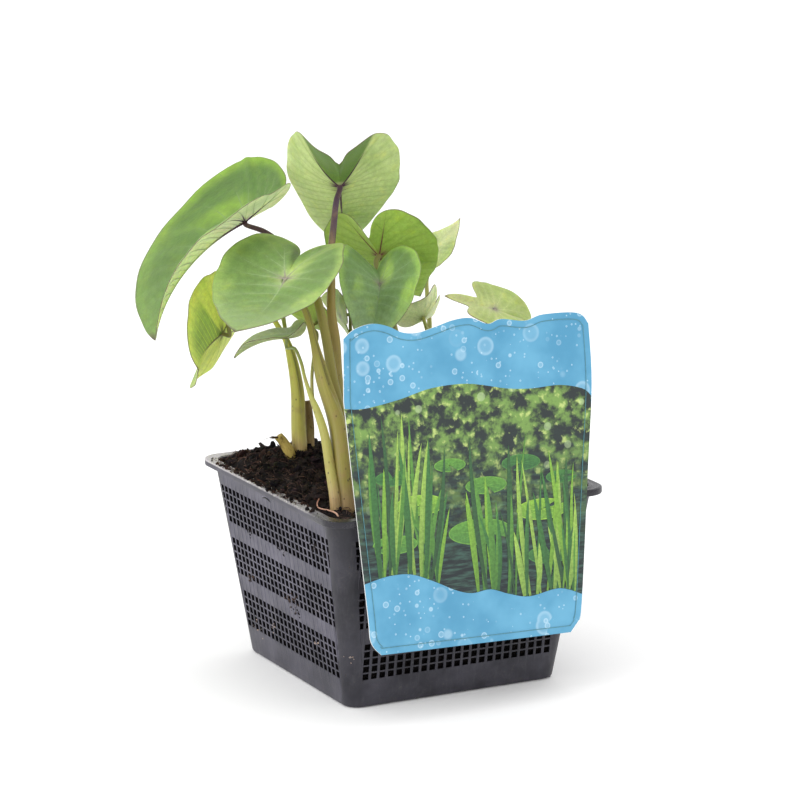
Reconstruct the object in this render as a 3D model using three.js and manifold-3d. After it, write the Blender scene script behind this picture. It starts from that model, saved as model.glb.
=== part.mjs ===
// A young elephant ear plant in a square mesh basket, with its plain printed card.
// Millimetres, +Z up. The origin is the middle of the basket's base, on the floor.
// The card hangs on the basket's -Y wall; the taller leaves lean to -X.

import * as THREE from 'three';
import { ParametricGeometry } from 'three/addons/geometries/ParametricGeometry.js';
import { LoftGeometry } from 'three/addons/geometries/LoftGeometry.js';
import { mergeGeometries, mergeVertices } from 'three/addons/utils/BufferGeometryUtils.js';
import Module from 'manifold-3d';

// Basket

const BASKET_HEIGHT = 72;
const BASE_HALF = 41.8;        // half the outer width at the floor
const WALL_TOP_HALF = 51.85;   // half the outer width just under the rim
const RIM_HALF = 55;
const RIM_HEIGHT = 2.5;
const RIM_SKIN = 1.2;
const WALL = 1.2;              // measured level, across the wall
const FLOOR = 1.6;
const BASE_CORNER = 5.7;
const TOP_CORNER = 7.4;

// Mesh of the walls: three bands of openings with plain bands between them

const BAND_BOTTOMS = [10.5, 30.1, 49.7];
const BAND_HEIGHT = 13.2;
const ROWS_PER_BAND = 2;
const COLUMN_PITCH = 6.6;
const OPENING_WIDTH = 3.9;
const ROW_BAR = 1.6;
const PLAIN_CORNER = 6;        // solid wall kept at each corner
const FLOOR_HOLE = 5;
const FLOOR_PITCH = 13;

// Soil

const GAP = 0.3;               // clearance between pieces that touch
const SOIL_LEVEL = 69.4;
const MOUNDS = [
  // x, y, height, spread along x, spread along y
  [-26, 33, 6.0, 17, 14],
  [-44, 2, 2.0, 8, 16],
  [10, 24, 1.6, 25, 20],
];
const SOIL_RINGS = [1, 0.86, 0.72, 0.58, 0.44, 0.3, 0.15, 0];   // edge to middle
const STEM_DEPTH = 12;         // how far stems go down into the soil

// Card

const CARD_AT = [-1.4, -56.1, 72];
const CARD_LEAN = 7.8;         // degrees, top edge back over the pot
const CARD_ROLL = -2.3;        // degrees, right-hand end down
const CARD_THICKNESS = 0.8;
const CARD_TOP_EDGE = [
  // along the card, up the card
  [-47.6, 61], [-43.5, 64], [-37, 65.6], [-31, 64.6], [-25, 62], [-19, 61.6],
  [-12, 63.3], [-5, 65.2], [1.7, 65.5], [8.3, 63.1], [13.5, 64.5], [23, 63.4],
  [30.2, 65.2], [44, 65], [48.4, 61],
];
const CARD_RIGHT_EDGE = [[49.2, 40], [47, 11], [43.2, -37], [41.5, -44]];
const CARD_BOTTOM_EDGE = [[38.4, -47.6], [-36.4, -48.7]];
const CARD_LEFT_EDGE = [[-40.2, -44], [-41.2, -34], [-44.8, 3.3], [-48.1, 39.5]];
const TONGUE_WIDTH = 14;       // strip that hooks over the rim
const TONGUE_DEPTH = 22;

// Leaves. Each blade is joined to its stalk a third of the way in from the notch.
// at: that join. heading, pitch and roll: degrees, of the midrib towards the tip.
// length: join to tip. wide and fold: left and right half, seen from above, tip ahead.
// fold: degrees up at the midrib. curl: degrees more by the half's edge.
// lobes: degrees more fold behind the join. droop, lift: bend of the front and the back.
// dents: places where the outline is drawn in, left of the midrib positive.

const BLADE_THICKNESS = 0.8;
const LEAVES = {
  upper_left: {
    at: [-42, 40.5, 160], heading: 143, pitch: -28, roll: 50, length: 58.5,
    wide: [1.08, 1.08], back: 0.76, fold: [-30, 80], curl: [-20, 8], lobes: [3, 3],
    droop: 76, lift: 22, twist: -1, dents: [{ angle: 140, spread: 13, depth: 0.2 }],
  },
  middle_left: {
    at: [-43.5, 4, 145.5], heading: -139, pitch: -29, roll: 1, length: 45.5,
    wide: [0.82, 1.04], back: 1.09, fold: [10, 7], curl: [-5, 7], lobes: [1, 8],
    droop: -30, lift: -23, twist: -2,
  },
  top: {
    at: [-8.5, 31, 171.5], heading: 60, pitch: -56, roll: 0, length: 40.5,
    wide: [1.16, 1.14], back: 1.07, fold: [7, 27], curl: [45, 2], lobes: [3, 5],
    droop: -28, lift: -17, twist: -1,
  },
  back_right: {
    at: [7, 30.5, 145], heading: 22, pitch: -57, roll: -13, length: 34,
    wide: [1.27, 1.22], back: 1.05, fold: [12, 27], curl: [-10, -6], lobes: [0, -4],
    droop: -41, lift: 10, twist: -5,
  },
  front_right: {
    at: [-1.5, 13.5, 138], heading: -118, pitch: -35, roll: -29, length: 28,
    wide: [1.14, 1.28], back: 0.96, fold: [63, 16], curl: [-9, -8], lobes: [8, 6],
    droop: 51, lift: -51, twist: 4,
  },
  low_left: {
    at: [-51, 41.5, 119.5], heading: -148, pitch: -12, roll: 86, length: 38,
    wide: [1.12, 0.98], back: 1.08, fold: [13, 25], curl: [-4, 6], lobes: [16, -4],
    droop: 41, lift: 12, twist: 12,
  },
  low_right: {
    at: [37, -2, 128], heading: 167, pitch: 18, roll: -18, length: 21,
    wide: [1.01, 1.2], back: 1.48, fold: [6, 24], curl: [-20, -11], lobes: [24, 3],
    droop: 0.5, lift: -14, twist: -7,
    dents: [{ angle: -22, spread: 14, depth: 0.5 }, { angle: 16, spread: 10, depth: 0.3 }],
  },
  far_right: {
    at: [42.5, 56, 139], heading: -4, pitch: 35, roll: -17, length: 16.5,
    wide: [1.16, 1.04], back: 1, fold: [23, -25], curl: [32, -12], lobes: [0, -2],
    droop: -21, lift: -1, twist: -15,
  },
  folded_right: {
    at: [23, 26.5, 121], heading: 137, pitch: -44, roll: 52, length: 17,
    wide: [1.03, 0.99], back: 1.39, fold: [4, 44], curl: [-14, 0.5], lobes: [-28, 0],
    droop: -82, lift: 41, twist: -3,
  },
  small_left: {
    at: [-42.5, 5.5, 124], heading: 152, pitch: 1, roll: 10, length: 20.5,
    wide: [1.28, 1.1], back: 0.96, fold: [25, 30], curl: [-33, -21], lobes: [9, 10],
    droop: 44, lift: 59, twist: 1,
  },
  small_middle: {
    at: [-27, 12, 127], heading: 105, pitch: 6, roll: 70, length: 15,
    wide: [1.11, 1], back: 1, fold: [12, 24], curl: [-10, 11], lobes: [0, 0],
    droop: 5, lift: 0, twist: 11,
  },
  small_back: {
    at: [-15, 17.5, 126.5], heading: 84, pitch: 15, roll: -107, length: 17.5,
    wide: [1, 1.11], back: 0.98, fold: [-3, -2], curl: [-16, -13], lobes: [0, -8],
    droop: -8, lift: 10, twist: 5,
  },
};

// Outline of a flat blade: degrees from the tip about the join, share of the length

const OUTLINE = [
  [0, 1], [4, 0.93], [9, 0.855], [16, 0.775], [26, 0.69], [40, 0.61], [58, 0.555],
  [78, 0.53], [98, 0.53], [118, 0.55], [138, 0.575], [153, 0.565], [165, 0.5],
  [174, 0.38], [180, 0.26],
];
const OUTLINE_STEPS = [0, 6, 14, 26, 44, 68, 94, 120, 142, 158, 170, 180];
const BLADE_RINGS = [0, 0.3, 0.6, 0.85, 1];

// Leaf stalks: x, y, z and radius, from the soil up to just below the blade

const STALKS = {
  middle_left: [
    [-37.5, -30, 70, 3], [-36, -21.5, 97, 3], [-38.5, -15, 113.5, 2.6],
    [-39, -9.5, 125, 1.35], [-39.5, -4.5, 134.5, 1.2], [-41, -0.5, 140, 1.1],
  ],
  upper_left: [
    [-32, -23, 72, 2], [-31, -15.5, 95.5, 1.9], [-32, -10, 111.5, 1.8],
    [-32, -5.5, 123.5, 1.7], [-32.5, -2, 133, 1.6], [-32, 3, 138.5, 1.4],
    [-30, 15, 145, 1.2], [-29.5, 24, 149, 1.1], [-31, 34.5, 153.5, 0.95],
    [-34.5, 38, 156.5, 0.95],
  ],
  top: [
    [-29, -15.5, 71, 2], [-28, -9.5, 93.5, 2], [-27.5, -4.5, 110, 2],
    [-26.5, -1, 122.5, 1.8], [-26.5, 2, 132, 1.6], [-23, 9, 142.5, 1.4],
    [-19.5, 16, 152, 1.3], [-16.5, 21.5, 159, 1.2], [-13.5, 26, 168, 1.05],
  ],
  small_left: [
    [-42, -31.5, 72.5, 1.8], [-41.5, -27, 83, 1.8], [-41.5, -22.5, 95, 1.7],
    [-42.5, -19, 102.5, 1.4], [-43.5, -16, 107.5, 0.9], [-44, -12.5, 113, 0.65],
    [-43, -7, 118, 0.6], [-42.5, -1, 121.5, 0.6],
  ],
  small_middle: [
    [-36.5, -21.5, 71.5, 0.7], [-38, -15.5, 91, 0.7], [-39.5, -10, 102.5, 0.65],
    [-38.5, -6.5, 111.5, 0.6], [-35, -1.5, 119.5, 0.6], [-30.5, 5.5, 124.5, 0.55],
  ],
  low_left: [
    [-26.5, 28.5, 75.5, 2], [-26, 30.5, 85, 2], [-25.5, 32.5, 98, 2.05],
    [-26, 35.5, 108.5, 1.7], [-27.5, 37, 115.5, 1.2], [-30.5, 38.5, 121.5, 0.95],
    [-35, 40.5, 129.5, 0.9], [-41, 41, 133.5, 0.9], [-46, 40.5, 131, 0.85],
    [-49.5, 39.5, 124, 0.8],
  ],
  small_back: [
    [-1.5, 4.5, 73, 0.8], [-4.5, 12, 100, 0.75], [-8, 17, 116, 0.7],
    [-11, 17.5, 121, 0.65],
  ],
  front_right: [
    [7.5, 5.5, 73, 1.5], [7.5, 10.5, 95, 1.3], [5.5, 13.5, 117, 1.1],
    [2, 14.5, 130, 1],
  ],
  back_right: [
    [14, 14, 73, 1.5], [13, 18, 93, 1.3], [9, 21.5, 118.5, 1.1],
    [6, 25.5, 134.5, 1],
  ],
  far_right: [
    [24.5, 24, 71, 1.3], [29, 33, 96, 1.1], [34, 42.5, 115.5, 0.9],
    [36.5, 49, 123.5, 0.8], [39, 53.5, 130.5, 0.75],
  ],
  folded_right: [
    [23, 12.5, 72.5, 1], [24.5, 19, 99, 0.9], [23.5, 23.5, 115, 0.75],
  ],
  low_right: [
    [26.5, 7, 72, 1.2], [29, 7, 93.5, 1.1], [32.5, 4.5, 112.5, 1],
    [35.5, 0.5, 122, 0.9],
  ],
};

// Other growth: the same four numbers

const ROLLED_LEAF = [
  [-25.5, 34, 76.5, 0.8], [-24.5, 36.5, 93, 0.8], [-25, 39, 107.5, 0.8],
  [-26, 42, 121.5, 0.8], [-26.5, 44, 129, 1.2], [-27.5, 45.5, 135.5, 1.3],
  [-28.5, 47, 142, 0.5],
];
const OLD_SHEATH = [[-21, 31.5, 77, 1.3], [-20.5, 32.5, 84, 1.3], [-20.5, 34.5, 93, 1.2]];
const CUT_STUB = [[-31.5, 26.5, 76, 1.25], [-33, 28, 80, 1.2], [-34.5, 28.5, 82.5, 1.15]];
const SURFACE_ROOT = [
  [-42.5, -20], [-45.5, -24.5], [-47, -29], [-45.5, -34], [-45, -38], [-45.5, -41],
];
const ROOT_RADIUS = 0.5;

const wasm = await Module();
wasm.setup();

const radians = THREE.MathUtils.degToRad;

// Geometry with its shared corners joined and its empty triangles dropped
function closed(geometry) {
  const bare = new THREE.BufferGeometry().copy(geometry);
  bare.deleteAttribute('normal');
  bare.deleteAttribute('uv');
  const merged = mergeVertices(bare, 1e-4);
  const kept = [];
  const old = merged.index.array;
  for (let i = 0; i < old.length; i += 3) {
    const [a, b, c] = [old[i], old[i + 1], old[i + 2]];
    if (a !== b && b !== c && c !== a) kept.push(a, b, c);
  }
  merged.setIndex(kept);
  merged.computeVertexNormals();
  return merged;
}

function toSolid(geometry) {
  const merged = closed(geometry);
  return new wasm.Manifold(new wasm.Mesh({
    numProp: 3,
    vertProperties: merged.attributes.position.array,
    triVerts: new Uint32Array(merged.index.array),
  }));
}

function fromSolid(solid) {
  const mesh = solid.getMesh();
  const geometry = new THREE.BufferGeometry();
  geometry.setAttribute('position', new THREE.BufferAttribute(mesh.vertProperties, 3));
  geometry.setIndex(new THREE.BufferAttribute(mesh.triVerts, 1));
  geometry.computeVertexNormals();
  return geometry;
}

function turnedOver(geometry) {
  const turned = new THREE.BufferGeometry().copy(geometry);
  const index = turned.index.array;
  for (let i = 0; i < index.length; i += 3) {
    [index[i + 1], index[i + 2]] = [index[i + 2], index[i + 1]];
  }
  return turned;
}

// Square with rounded corners, at one height, with extra points along its sides
function roundedSquare(half, corner, z, steps = 4, between = 1) {
  const points = [];
  for (let quarter = 0; quarter < 4; quarter += 1) {
    const middle = radians(45 + 90 * quarter);
    const reach = (half - corner) * Math.SQRT2;
    for (let step = 0; step <= steps; step += 1) {
      const angle = radians(90 * quarter + 90 * step / steps);
      points.push(new THREE.Vector3(
        reach * Math.cos(middle) + corner * Math.cos(angle),
        reach * Math.sin(middle) + corner * Math.sin(angle),
        z,
      ));
    }
    for (let step = 1; step < between; step += 1) {
      const along = new THREE.Vector3(half, half - corner, z)
        .lerp(new THREE.Vector3(half, corner - half, z), 1 - step / between);
      points.push(along.applyAxisAngle(new THREE.Vector3(0, 0, 1), radians(90 * (quarter + 1))));
    }
  }
  return points;
}

function squareLoft(sections) {
  const rings = sections.map(([half, corner, z]) => roundedSquare(half, corner, z));
  return new LoftGeometry(rings, { capStart: true, capEnd: true });
}

function box(width, depth, height, x, y, z) {
  return new THREE.BoxGeometry(width, depth, height).translate(x, y, z);
}

const wallHalf = (z) => THREE.MathUtils.mapLinear(
  z, 0, BASKET_HEIGHT - RIM_HEIGHT, BASE_HALF, WALL_TOP_HALF,
);
const cornerAt = (z) => THREE.MathUtils.mapLinear(z, 0, BASKET_HEIGHT, BASE_CORNER, TOP_CORNER);

// Basket: tapered shell, folded rim, mesh walls and a holed floor
function basketGeometry() {
  const under = BASKET_HEIGHT - RIM_HEIGHT;
  const over = BASKET_HEIGHT + 2;
  let body = toSolid(squareLoft([
    [wallHalf(0), cornerAt(0), 0],
    [wallHalf(BASKET_HEIGHT - 0.5), cornerAt(BASKET_HEIGHT), BASKET_HEIGHT - 0.5],
  ]));
  body = body.add(toSolid(squareLoft([
    [RIM_HALF, 7.6, under],
    [RIM_HALF, 7.6, BASKET_HEIGHT],
  ])));
  body = body.subtract(toSolid(squareLoft([
    [wallHalf(FLOOR) - WALL, cornerAt(FLOOR) - WALL, FLOOR],
    [wallHalf(over) - WALL, cornerAt(over) - WALL, over],
  ])));
  const groove = toSolid(squareLoft([
    [RIM_HALF - RIM_SKIN, 6.4, under - 0.5],
    [RIM_HALF - RIM_SKIN, 6.4, BASKET_HEIGHT - RIM_SKIN],
  ])).subtract(toSolid(squareLoft([
    [wallHalf(under) + 0.05, cornerAt(under), under - 1],
    [wallHalf(under) + 0.35, cornerAt(under), BASKET_HEIGHT],
  ])));
  body = body.subtract(groove);

  const rowPitch = (BAND_HEIGHT + ROW_BAR) / ROWS_PER_BAND;
  for (const bandBottom of BAND_BOTTOMS) {
    for (let row = 0; row < ROWS_PER_BAND; row += 1) {
      const z = bandBottom + row * rowPitch + (rowPitch - ROW_BAR) / 2;
      const reach = wallHalf(bandBottom) - PLAIN_CORNER - OPENING_WIDTH / 2;
      const each = Math.floor(reach / COLUMN_PITCH);
      for (let column = -each; column <= each; column += 1) {
        const along = column * COLUMN_PITCH;
        const tall = rowPitch - ROW_BAR;
        body = body.subtract(toSolid(box(OPENING_WIDTH, 130, tall, along, 0, z)));
        body = body.subtract(toSolid(box(130, OPENING_WIDTH, tall, 0, along, z)));
      }
    }
  }
  for (let row = -2; row <= 2; row += 1) {
    for (let column = -2; column <= 2; column += 1) {
      if (row !== 0 || column !== 0) {
        const [x, y] = [column * FLOOR_PITCH, row * FLOOR_PITCH];
        body = body.subtract(toSolid(box(FLOOR_HOLE, FLOOR_HOLE, 8, x, y, 0)));
      }
    }
  }
  return fromSolid(body);
}

function soilHeight(x, y) {
  let z = SOIL_LEVEL + 0.35 * Math.sin(x * 0.42 + 1) * Math.cos(y * 0.37);
  for (const [cx, cy, height, spreadX, spreadY] of MOUNDS) {
    const far = ((x - cx) / spreadX) ** 2 + ((y - cy) / spreadY) ** 2;
    z += height * Math.exp(-far / 2);
  }
  return z;
}

// Soil: fills the basket, heaped round the stems
function soilGeometry(cutters) {
  const bottom = FLOOR + GAP;
  const inset = WALL + GAP;
  const low = roundedSquare(wallHalf(bottom) - inset, cornerAt(bottom) - inset, bottom, 3, 6);
  const high = roundedSquare(
    wallHalf(SOIL_LEVEL - 2) - inset, cornerAt(SOIL_LEVEL) - inset, SOIL_LEVEL, 3, 6,
  );
  const shell = new ParametricGeometry((s, t, target) => {
    const i = Math.round(s * low.length) % low.length;
    const row = Math.round(t * (SOIL_RINGS.length + 1));
    if (row === 0) target.set(0, 0, bottom);
    else if (row === 1) target.copy(low[i]);
    else {
      const { x, y } = high[i].clone().multiplyScalar(SOIL_RINGS[row - 2]);
      target.set(x, y, soilHeight(x, y));
    }
  }, low.length, SOIL_RINGS.length + 1);
  let soil = toSolid(shell);
  for (const cutter of cutters) soil = soil.subtract(toSolid(cutter));
  return fromSolid(soil);
}

// Round stem of changing radius through a list of points
function stemGeometry(points, { sides = 8, extra = 0, perPoint = 2 } = {}) {
  const path = new THREE.CatmullRomCurve3(
    points.map(([x, y, z]) => new THREE.Vector3(x, y, z)), false, 'centripetal',
  );
  const radii = points.map((point) => point[3]);
  const steps = (points.length - 1) * perPoint;
  const frames = path.computeFrenetFrames(steps, false);
  const rings = [];
  for (let step = 0; step <= steps; step += 1) {
    const share = step / steps;
    const centre = path.getPointAt(share);
    const place = path.getUtoTmapping(share) * (radii.length - 1);
    const below = Math.min(Math.floor(place), radii.length - 2);
    const radius = THREE.MathUtils.lerp(radii[below], radii[below + 1], place - below) + extra;
    const ring = [];
    for (let side = 0; side < sides; side += 1) {
      const angle = side / sides * Math.PI * 2;
      ring.push(centre.clone()
        .addScaledVector(frames.normals[step], radius * Math.cos(angle))
        .addScaledVector(frames.binormals[step], radius * Math.sin(angle)));
    }
    rings.push(ring);
  }
  return new LoftGeometry(rings, { capStart: true, capEnd: true });
}

// Its lower end, sunk straight down into the soil
function rooted(points) {
  const [x, y, z, radius] = points[0];
  return [[x, y, z - STEM_DEPTH, radius], ...points];
}

function outlineRadius(degrees) {
  let k = 1;
  while (k < OUTLINE.length - 1 && OUTLINE[k][0] < degrees) k += 1;
  const slope = (i) => {
    const [low, high] = [OUTLINE[Math.max(i - 1, 0)], OUTLINE[Math.min(i + 1, OUTLINE.length - 1)]];
    return (high[1] - low[1]) / (high[0] - low[0]);
  };
  const [[x0, y0], [x1, y1]] = [OUTLINE[k - 1], OUTLINE[k]];
  const step = x1 - x0;
  const t = (degrees - x0) / step;
  return y0 * (2 * t ** 3 - 3 * t ** 2 + 1) + slope(k - 1) * step * (t ** 3 - 2 * t ** 2 + t)
    + y1 * (3 * t ** 2 - 2 * t ** 3) + slope(k) * step * (t ** 3 - t ** 2);
}

// End of an arc that starts at an angle and turns evenly along its length
function arcEnd(start, turn, length) {
  const k = Math.abs(turn) < 1e-6 ? 1e-6 : turn;
  return [
    (Math.sin(start + k * length) - Math.sin(start)) / k,
    (Math.cos(start) - Math.cos(start + k * length)) / k,
  ];
}

// Point of a bent blade, in its own frame: x to the tip, y to its left, z up
function bladePoint(leaf, u, v, target) {
  const side = v >= 0 ? 0 : 1;
  const behind = THREE.MathUtils.smoothstep(-u, 0, 0.45);
  const fold = radians(leaf.fold[side] + behind * leaf.lobes[side]);
  const [across, up] = arcEnd(fold, radians(leaf.curl[side]) / 0.5, Math.abs(v));
  const twist = radians(leaf.twist) * u;
  const flat = side === 0 ? across : -across;
  const y = flat * Math.cos(twist) - up * Math.sin(twist);
  const z = flat * Math.sin(twist) + up * Math.cos(twist);
  const turn = u >= 0 ? -radians(leaf.droop) : radians(leaf.lift) / 0.5;
  const [along, rise] = arcEnd(0, turn, Math.abs(u));
  const way = u >= 0 ? 1 : -1;
  const angle = turn * Math.abs(u);
  return target.set(
    way * (along - Math.sin(angle) * z), y, rise + Math.cos(angle) * z,
  ).multiplyScalar(leaf.length);
}

// Place on the flat blade at a signed angle from the tip and a share of the radius
function flatPlace(leaf, degrees, share) {
  let radius = outlineRadius(Math.abs(degrees));
  for (const dent of leaf.dents ?? []) {
    const off = (degrees - dent.angle) / dent.spread;
    radius *= 1 - dent.depth * Math.exp(-off * off);
  }
  const angle = radians(degrees);
  const along = share * radius * Math.cos(angle);
  const across = share * radius * Math.sin(angle);
  const wide = across >= 0 ? leaf.wide[0] : leaf.wide[1];
  return [along < 0 ? along * leaf.back : along, across * wide];
}

// Blade: two like faces, half its thickness either side of the bent surface
function bladeGeometry(leaf) {
  const steps = [...OUTLINE_STEPS.slice(1).reverse().map((step) => -step), ...OUTLINE_STEPS];
  const rings = leaf.length < 25 ? [0, 0.4, 0.75, 1] : BLADE_RINGS;
  const at = new THREE.Vector3();
  const ahead = new THREE.Vector3();
  const left = new THREE.Vector3();
  const place = (degrees, share, offset, target) => {
    const [u, v] = flatPlace(leaf, degrees, share);
    const eps = 0.01;
    bladePoint(leaf, u, v, at);
    bladePoint(leaf, u + eps, v, ahead).sub(bladePoint(leaf, u - eps, v, left));
    const across = bladePoint(leaf, u, v + eps, left).clone()
      .sub(bladePoint(leaf, u, v - eps, left));
    ahead.cross(across).normalize();
    target.copy(at).addScaledVector(ahead, offset);
  };
  const half = BLADE_THICKNESS / 2;
  const nearest = (list, share) => list[Math.round(share * (list.length - 1))];
  const face = (offset) => new ParametricGeometry((s, t, target) => {
    place(nearest(steps, s), nearest(rings, t), offset, target);
  }, steps.length - 1, rings.length - 1);
  const edge = new ParametricGeometry((s, t, target) => {
    place(nearest(steps, s), 1, t < 0.5 ? -half : half, target);
  }, steps.length - 1, 1);
  return closed(mergeGeometries([turnedOver(face(half)), face(-half), edge]));
}

const leafTurn = (leaf) => new THREE.Euler(
  radians(leaf.roll), -radians(leaf.pitch), radians(leaf.heading), 'ZYX',
);

// Stalk from the soil to just under its blade
function stalkPoints(name) {
  const leaf = LEAVES[name];
  const join = new THREE.Vector3(...leaf.at);
  const up = new THREE.Vector3(0, 0, 1).applyEuler(leafTurn(leaf));
  const points = rooted(STALKS[name]);
  const radius = points[points.length - 1][3];
  const clear = BLADE_THICKNESS / 2 + GAP + radius * 0.6;
  for (const below of [3.2, clear]) {
    const point = join.clone().addScaledVector(up, -below);
    points.push([point.x, point.y, point.z, radius * 0.9]);
  }
  return points;
}

function cardGeometry() {
  const toPoints = (list) => list.map(([x, y]) => new THREE.Vector2(x, y));
  const outline = new THREE.Shape();
  const [start, ...top] = toPoints(CARD_TOP_EDGE);
  outline.moveTo(start.x, start.y);
  outline.splineThru(top);
  outline.splineThru(toPoints(CARD_RIGHT_EDGE));
  outline.splineThru(toPoints(CARD_BOTTOM_EDGE.slice(0, 1)));
  outline.lineTo(...CARD_BOTTOM_EDGE[1]);
  outline.splineThru(toPoints(CARD_LEFT_EDGE));
  outline.closePath();
  const sheet = new THREE.ExtrudeGeometry(outline, {
    depth: CARD_THICKNESS, bevelEnabled: false, curveSegments: 3,
  }).translate(0, 0, -CARD_THICKNESS);
  const turn = new THREE.Matrix4().makeRotationFromEuler(
    new THREE.Euler(radians(90 - CARD_LEAN), 0, radians(CARD_ROLL)),
  );
  return sheet.applyMatrix4(turn.setPosition(...CARD_AT));
}

// Strip behind the card: over the rim, then down between wall and soil
function tongueGeometries(extra) {
  const top = BASKET_HEIGHT + GAP + 0.1;
  const wall = -(wallHalf(BASKET_HEIGHT) - WALL - GAP);
  const thick = CARD_THICKNESS;
  const front = CARD_AT[1] + thick / 2;
  const back = wall + thick;
  const bridge = box(
    TONGUE_WIDTH, back - front, thick, CARD_AT[0], (front + back) / 2, top + thick / 2,
  );
  const slope = Math.atan((WALL_TOP_HALF - BASE_HALF) / (BASKET_HEIGHT - RIM_HEIGHT));
  const drop = new THREE.BoxGeometry(
    TONGUE_WIDTH + 2 * extra, thick + 2 * extra, TONGUE_DEPTH + 2 * extra,
  ).translate(0, thick / 2, -TONGUE_DEPTH / 2);
  drop.applyMatrix4(new THREE.Matrix4().makeRotationX(slope).setPosition(
    CARD_AT[0], wall + 0.05, top + thick,
  ));
  return [bridge, drop];
}

const colours = {
  basket: 0x4a494b,
  soil: 0x2b1f18,
  card: 0x6db4d6,
  stalk: 0xa3a84f,
  purple: 0x5b4350,
  sheath: 0x8a8a45,
  stub: 0xb99a62,
  root: 0xcf9f8c,
  upper: 0x7ba24c,
  bright: 0x8fae3f,
  under: 0xa9bd79,
};

function piece(name, geometry, color, roughness) {
  const mesh = new THREE.Mesh(
    geometry, new THREE.MeshStandardMaterial({ color, roughness, metalness: 0 }),
  );
  mesh.name = name;
  return mesh;
}

const plant = new THREE.Group();

const stems = Object.fromEntries(Object.keys(STALKS).map((name) => [name, stalkPoints(name)]));
const growth = {
  rolled_leaf: rooted(ROLLED_LEAF),
  old_sheath: rooted(OLD_SHEATH),
  cut_stub: rooted(CUT_STUB),
};
const inSoil = [...Object.values(stems), ...Object.values(growth)];
const stemHoles = inSoil.map((points) => {
  const [x, y, z, radius] = points[0];
  const lower = [[x, y, z - GAP, radius], ...points.slice(1, 4)];
  return stemGeometry(lower, { extra: GAP + 0.15 });
});
const [, tonguePocket] = tongueGeometries(GAP + 0.05);

plant.add(piece('basket', basketGeometry(), colours.basket, 0.55));
plant.add(piece('soil', soilGeometry([...stemHoles, tonguePocket]), colours.soil, 0.95));

let card = toSolid(cardGeometry());
for (const strip of tongueGeometries(0)) card = card.add(toSolid(strip));
plant.add(piece('card', fromSolid(card), colours.card, 0.35));

const bladeColours = {
  top: colours.under, back_right: colours.bright, low_left: colours.bright,
  far_right: colours.under, folded_right: colours.under, low_right: colours.under,
  small_middle: colours.bright, small_back: colours.bright,
};
for (const [name, leaf] of Object.entries(LEAVES)) {
  const blade = piece(
    `blade_${name}`, bladeGeometry(leaf), bladeColours[name] ?? colours.upper, 0.6,
  );
  blade.position.set(...leaf.at);
  blade.rotation.copy(leafTurn(leaf));
  plant.add(blade);
}

for (const [name, points] of Object.entries(stems)) {
  const sides = points[0][3] < 1 ? 6 : 8;
  const colour = name === 'top' ? colours.purple : colours.stalk;
  plant.add(piece(`stalk_${name}`, closed(stemGeometry(points, { sides })), colour, 0.5));
}
plant.add(piece('rolled_leaf', closed(stemGeometry(growth.rolled_leaf)), colours.stalk, 0.5));
plant.add(piece('old_sheath', closed(stemGeometry(growth.old_sheath)), colours.sheath, 0.6));
plant.add(piece('cut_stub', closed(stemGeometry(growth.cut_stub)), colours.stub, 0.9));

const rootPath = SURFACE_ROOT.map(([x, y]) => [
  x, y, soilHeight(x, y) + ROOT_RADIUS + GAP + 0.25, ROOT_RADIUS,
]);
plant.add(piece('surface_root', closed(stemGeometry(rootPath, { sides: 6 })), colours.root, 0.6));

export default plant;
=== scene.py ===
"""A young elephant ear plant in a square mesh basket, with its plain printed card.

Each piece stands where the frame has its solid and has the same sizes, with the
finer shapes and finishes of the real thing. Tables are in millimetres, +Z up, and
the origin is the middle of the basket's base.
"""

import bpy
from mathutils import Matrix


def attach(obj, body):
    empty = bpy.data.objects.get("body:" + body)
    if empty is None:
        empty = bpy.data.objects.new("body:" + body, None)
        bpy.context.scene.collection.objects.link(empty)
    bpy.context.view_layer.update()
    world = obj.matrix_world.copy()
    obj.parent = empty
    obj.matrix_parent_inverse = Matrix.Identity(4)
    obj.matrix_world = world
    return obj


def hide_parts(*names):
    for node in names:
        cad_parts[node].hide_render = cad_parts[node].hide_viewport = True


bl_info = {
    "name": "Potted Elephant Ear",
    "version": (1, 0, 0),
    "blender": (4, 5, 0),
    "location": "3D View > Sidebar > Elephant Ear",
    "description": "Basket, soil, stalks, leaves and card of a young elephant ear plant",
    "category": "Add Mesh",
}

import math
import random

import bmesh
import bpy
import numpy as np
from mathutils import Matrix, Vector, noise
from mathutils.geometry import tessellate_polygon

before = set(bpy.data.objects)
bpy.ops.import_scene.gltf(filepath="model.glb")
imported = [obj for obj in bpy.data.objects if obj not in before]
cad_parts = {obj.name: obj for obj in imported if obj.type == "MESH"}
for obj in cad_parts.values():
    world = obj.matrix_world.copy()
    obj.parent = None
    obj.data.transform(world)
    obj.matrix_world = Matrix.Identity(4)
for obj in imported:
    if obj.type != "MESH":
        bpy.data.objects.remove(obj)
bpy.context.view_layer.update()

MM = 0.001
BODY = "root"

# Basket

BASKET_HEIGHT = 72
BASE_HALF = 41.8        # half the outer width at the floor
WALL_TOP_HALF = 51.85   # half the outer width just under the rim
RIM_HALF = 55
RIM_HEIGHT = 2.5
WALL = 1.2
FLOOR = 1.6
BASE_CORNER = 5.7
TOP_CORNER = 7.4
BAND_BOTTOMS = [10.5, 30.1, 49.7]
BAND_ROWS = 5
ROW_PITCH = 2.825
COLUMN_PITCH = 3.3
MOST_COLUMNS = 13       # either side of a wall's middle one
RIB_SPAN = (8.6, 67.6)
FLOOR_HOLE = 5
FLOOR_PITCH = 13
PLACES_A_COLUMN = 6     # along a wall: an opening's two sides and a rib's four
LEAST_OPENING = 0.5     # narrower ones by the corners stay shut
NICK_AT = (4.5, 67)     # along the left wall, height
CORNER_STEPS = 8

# Soil

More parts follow.
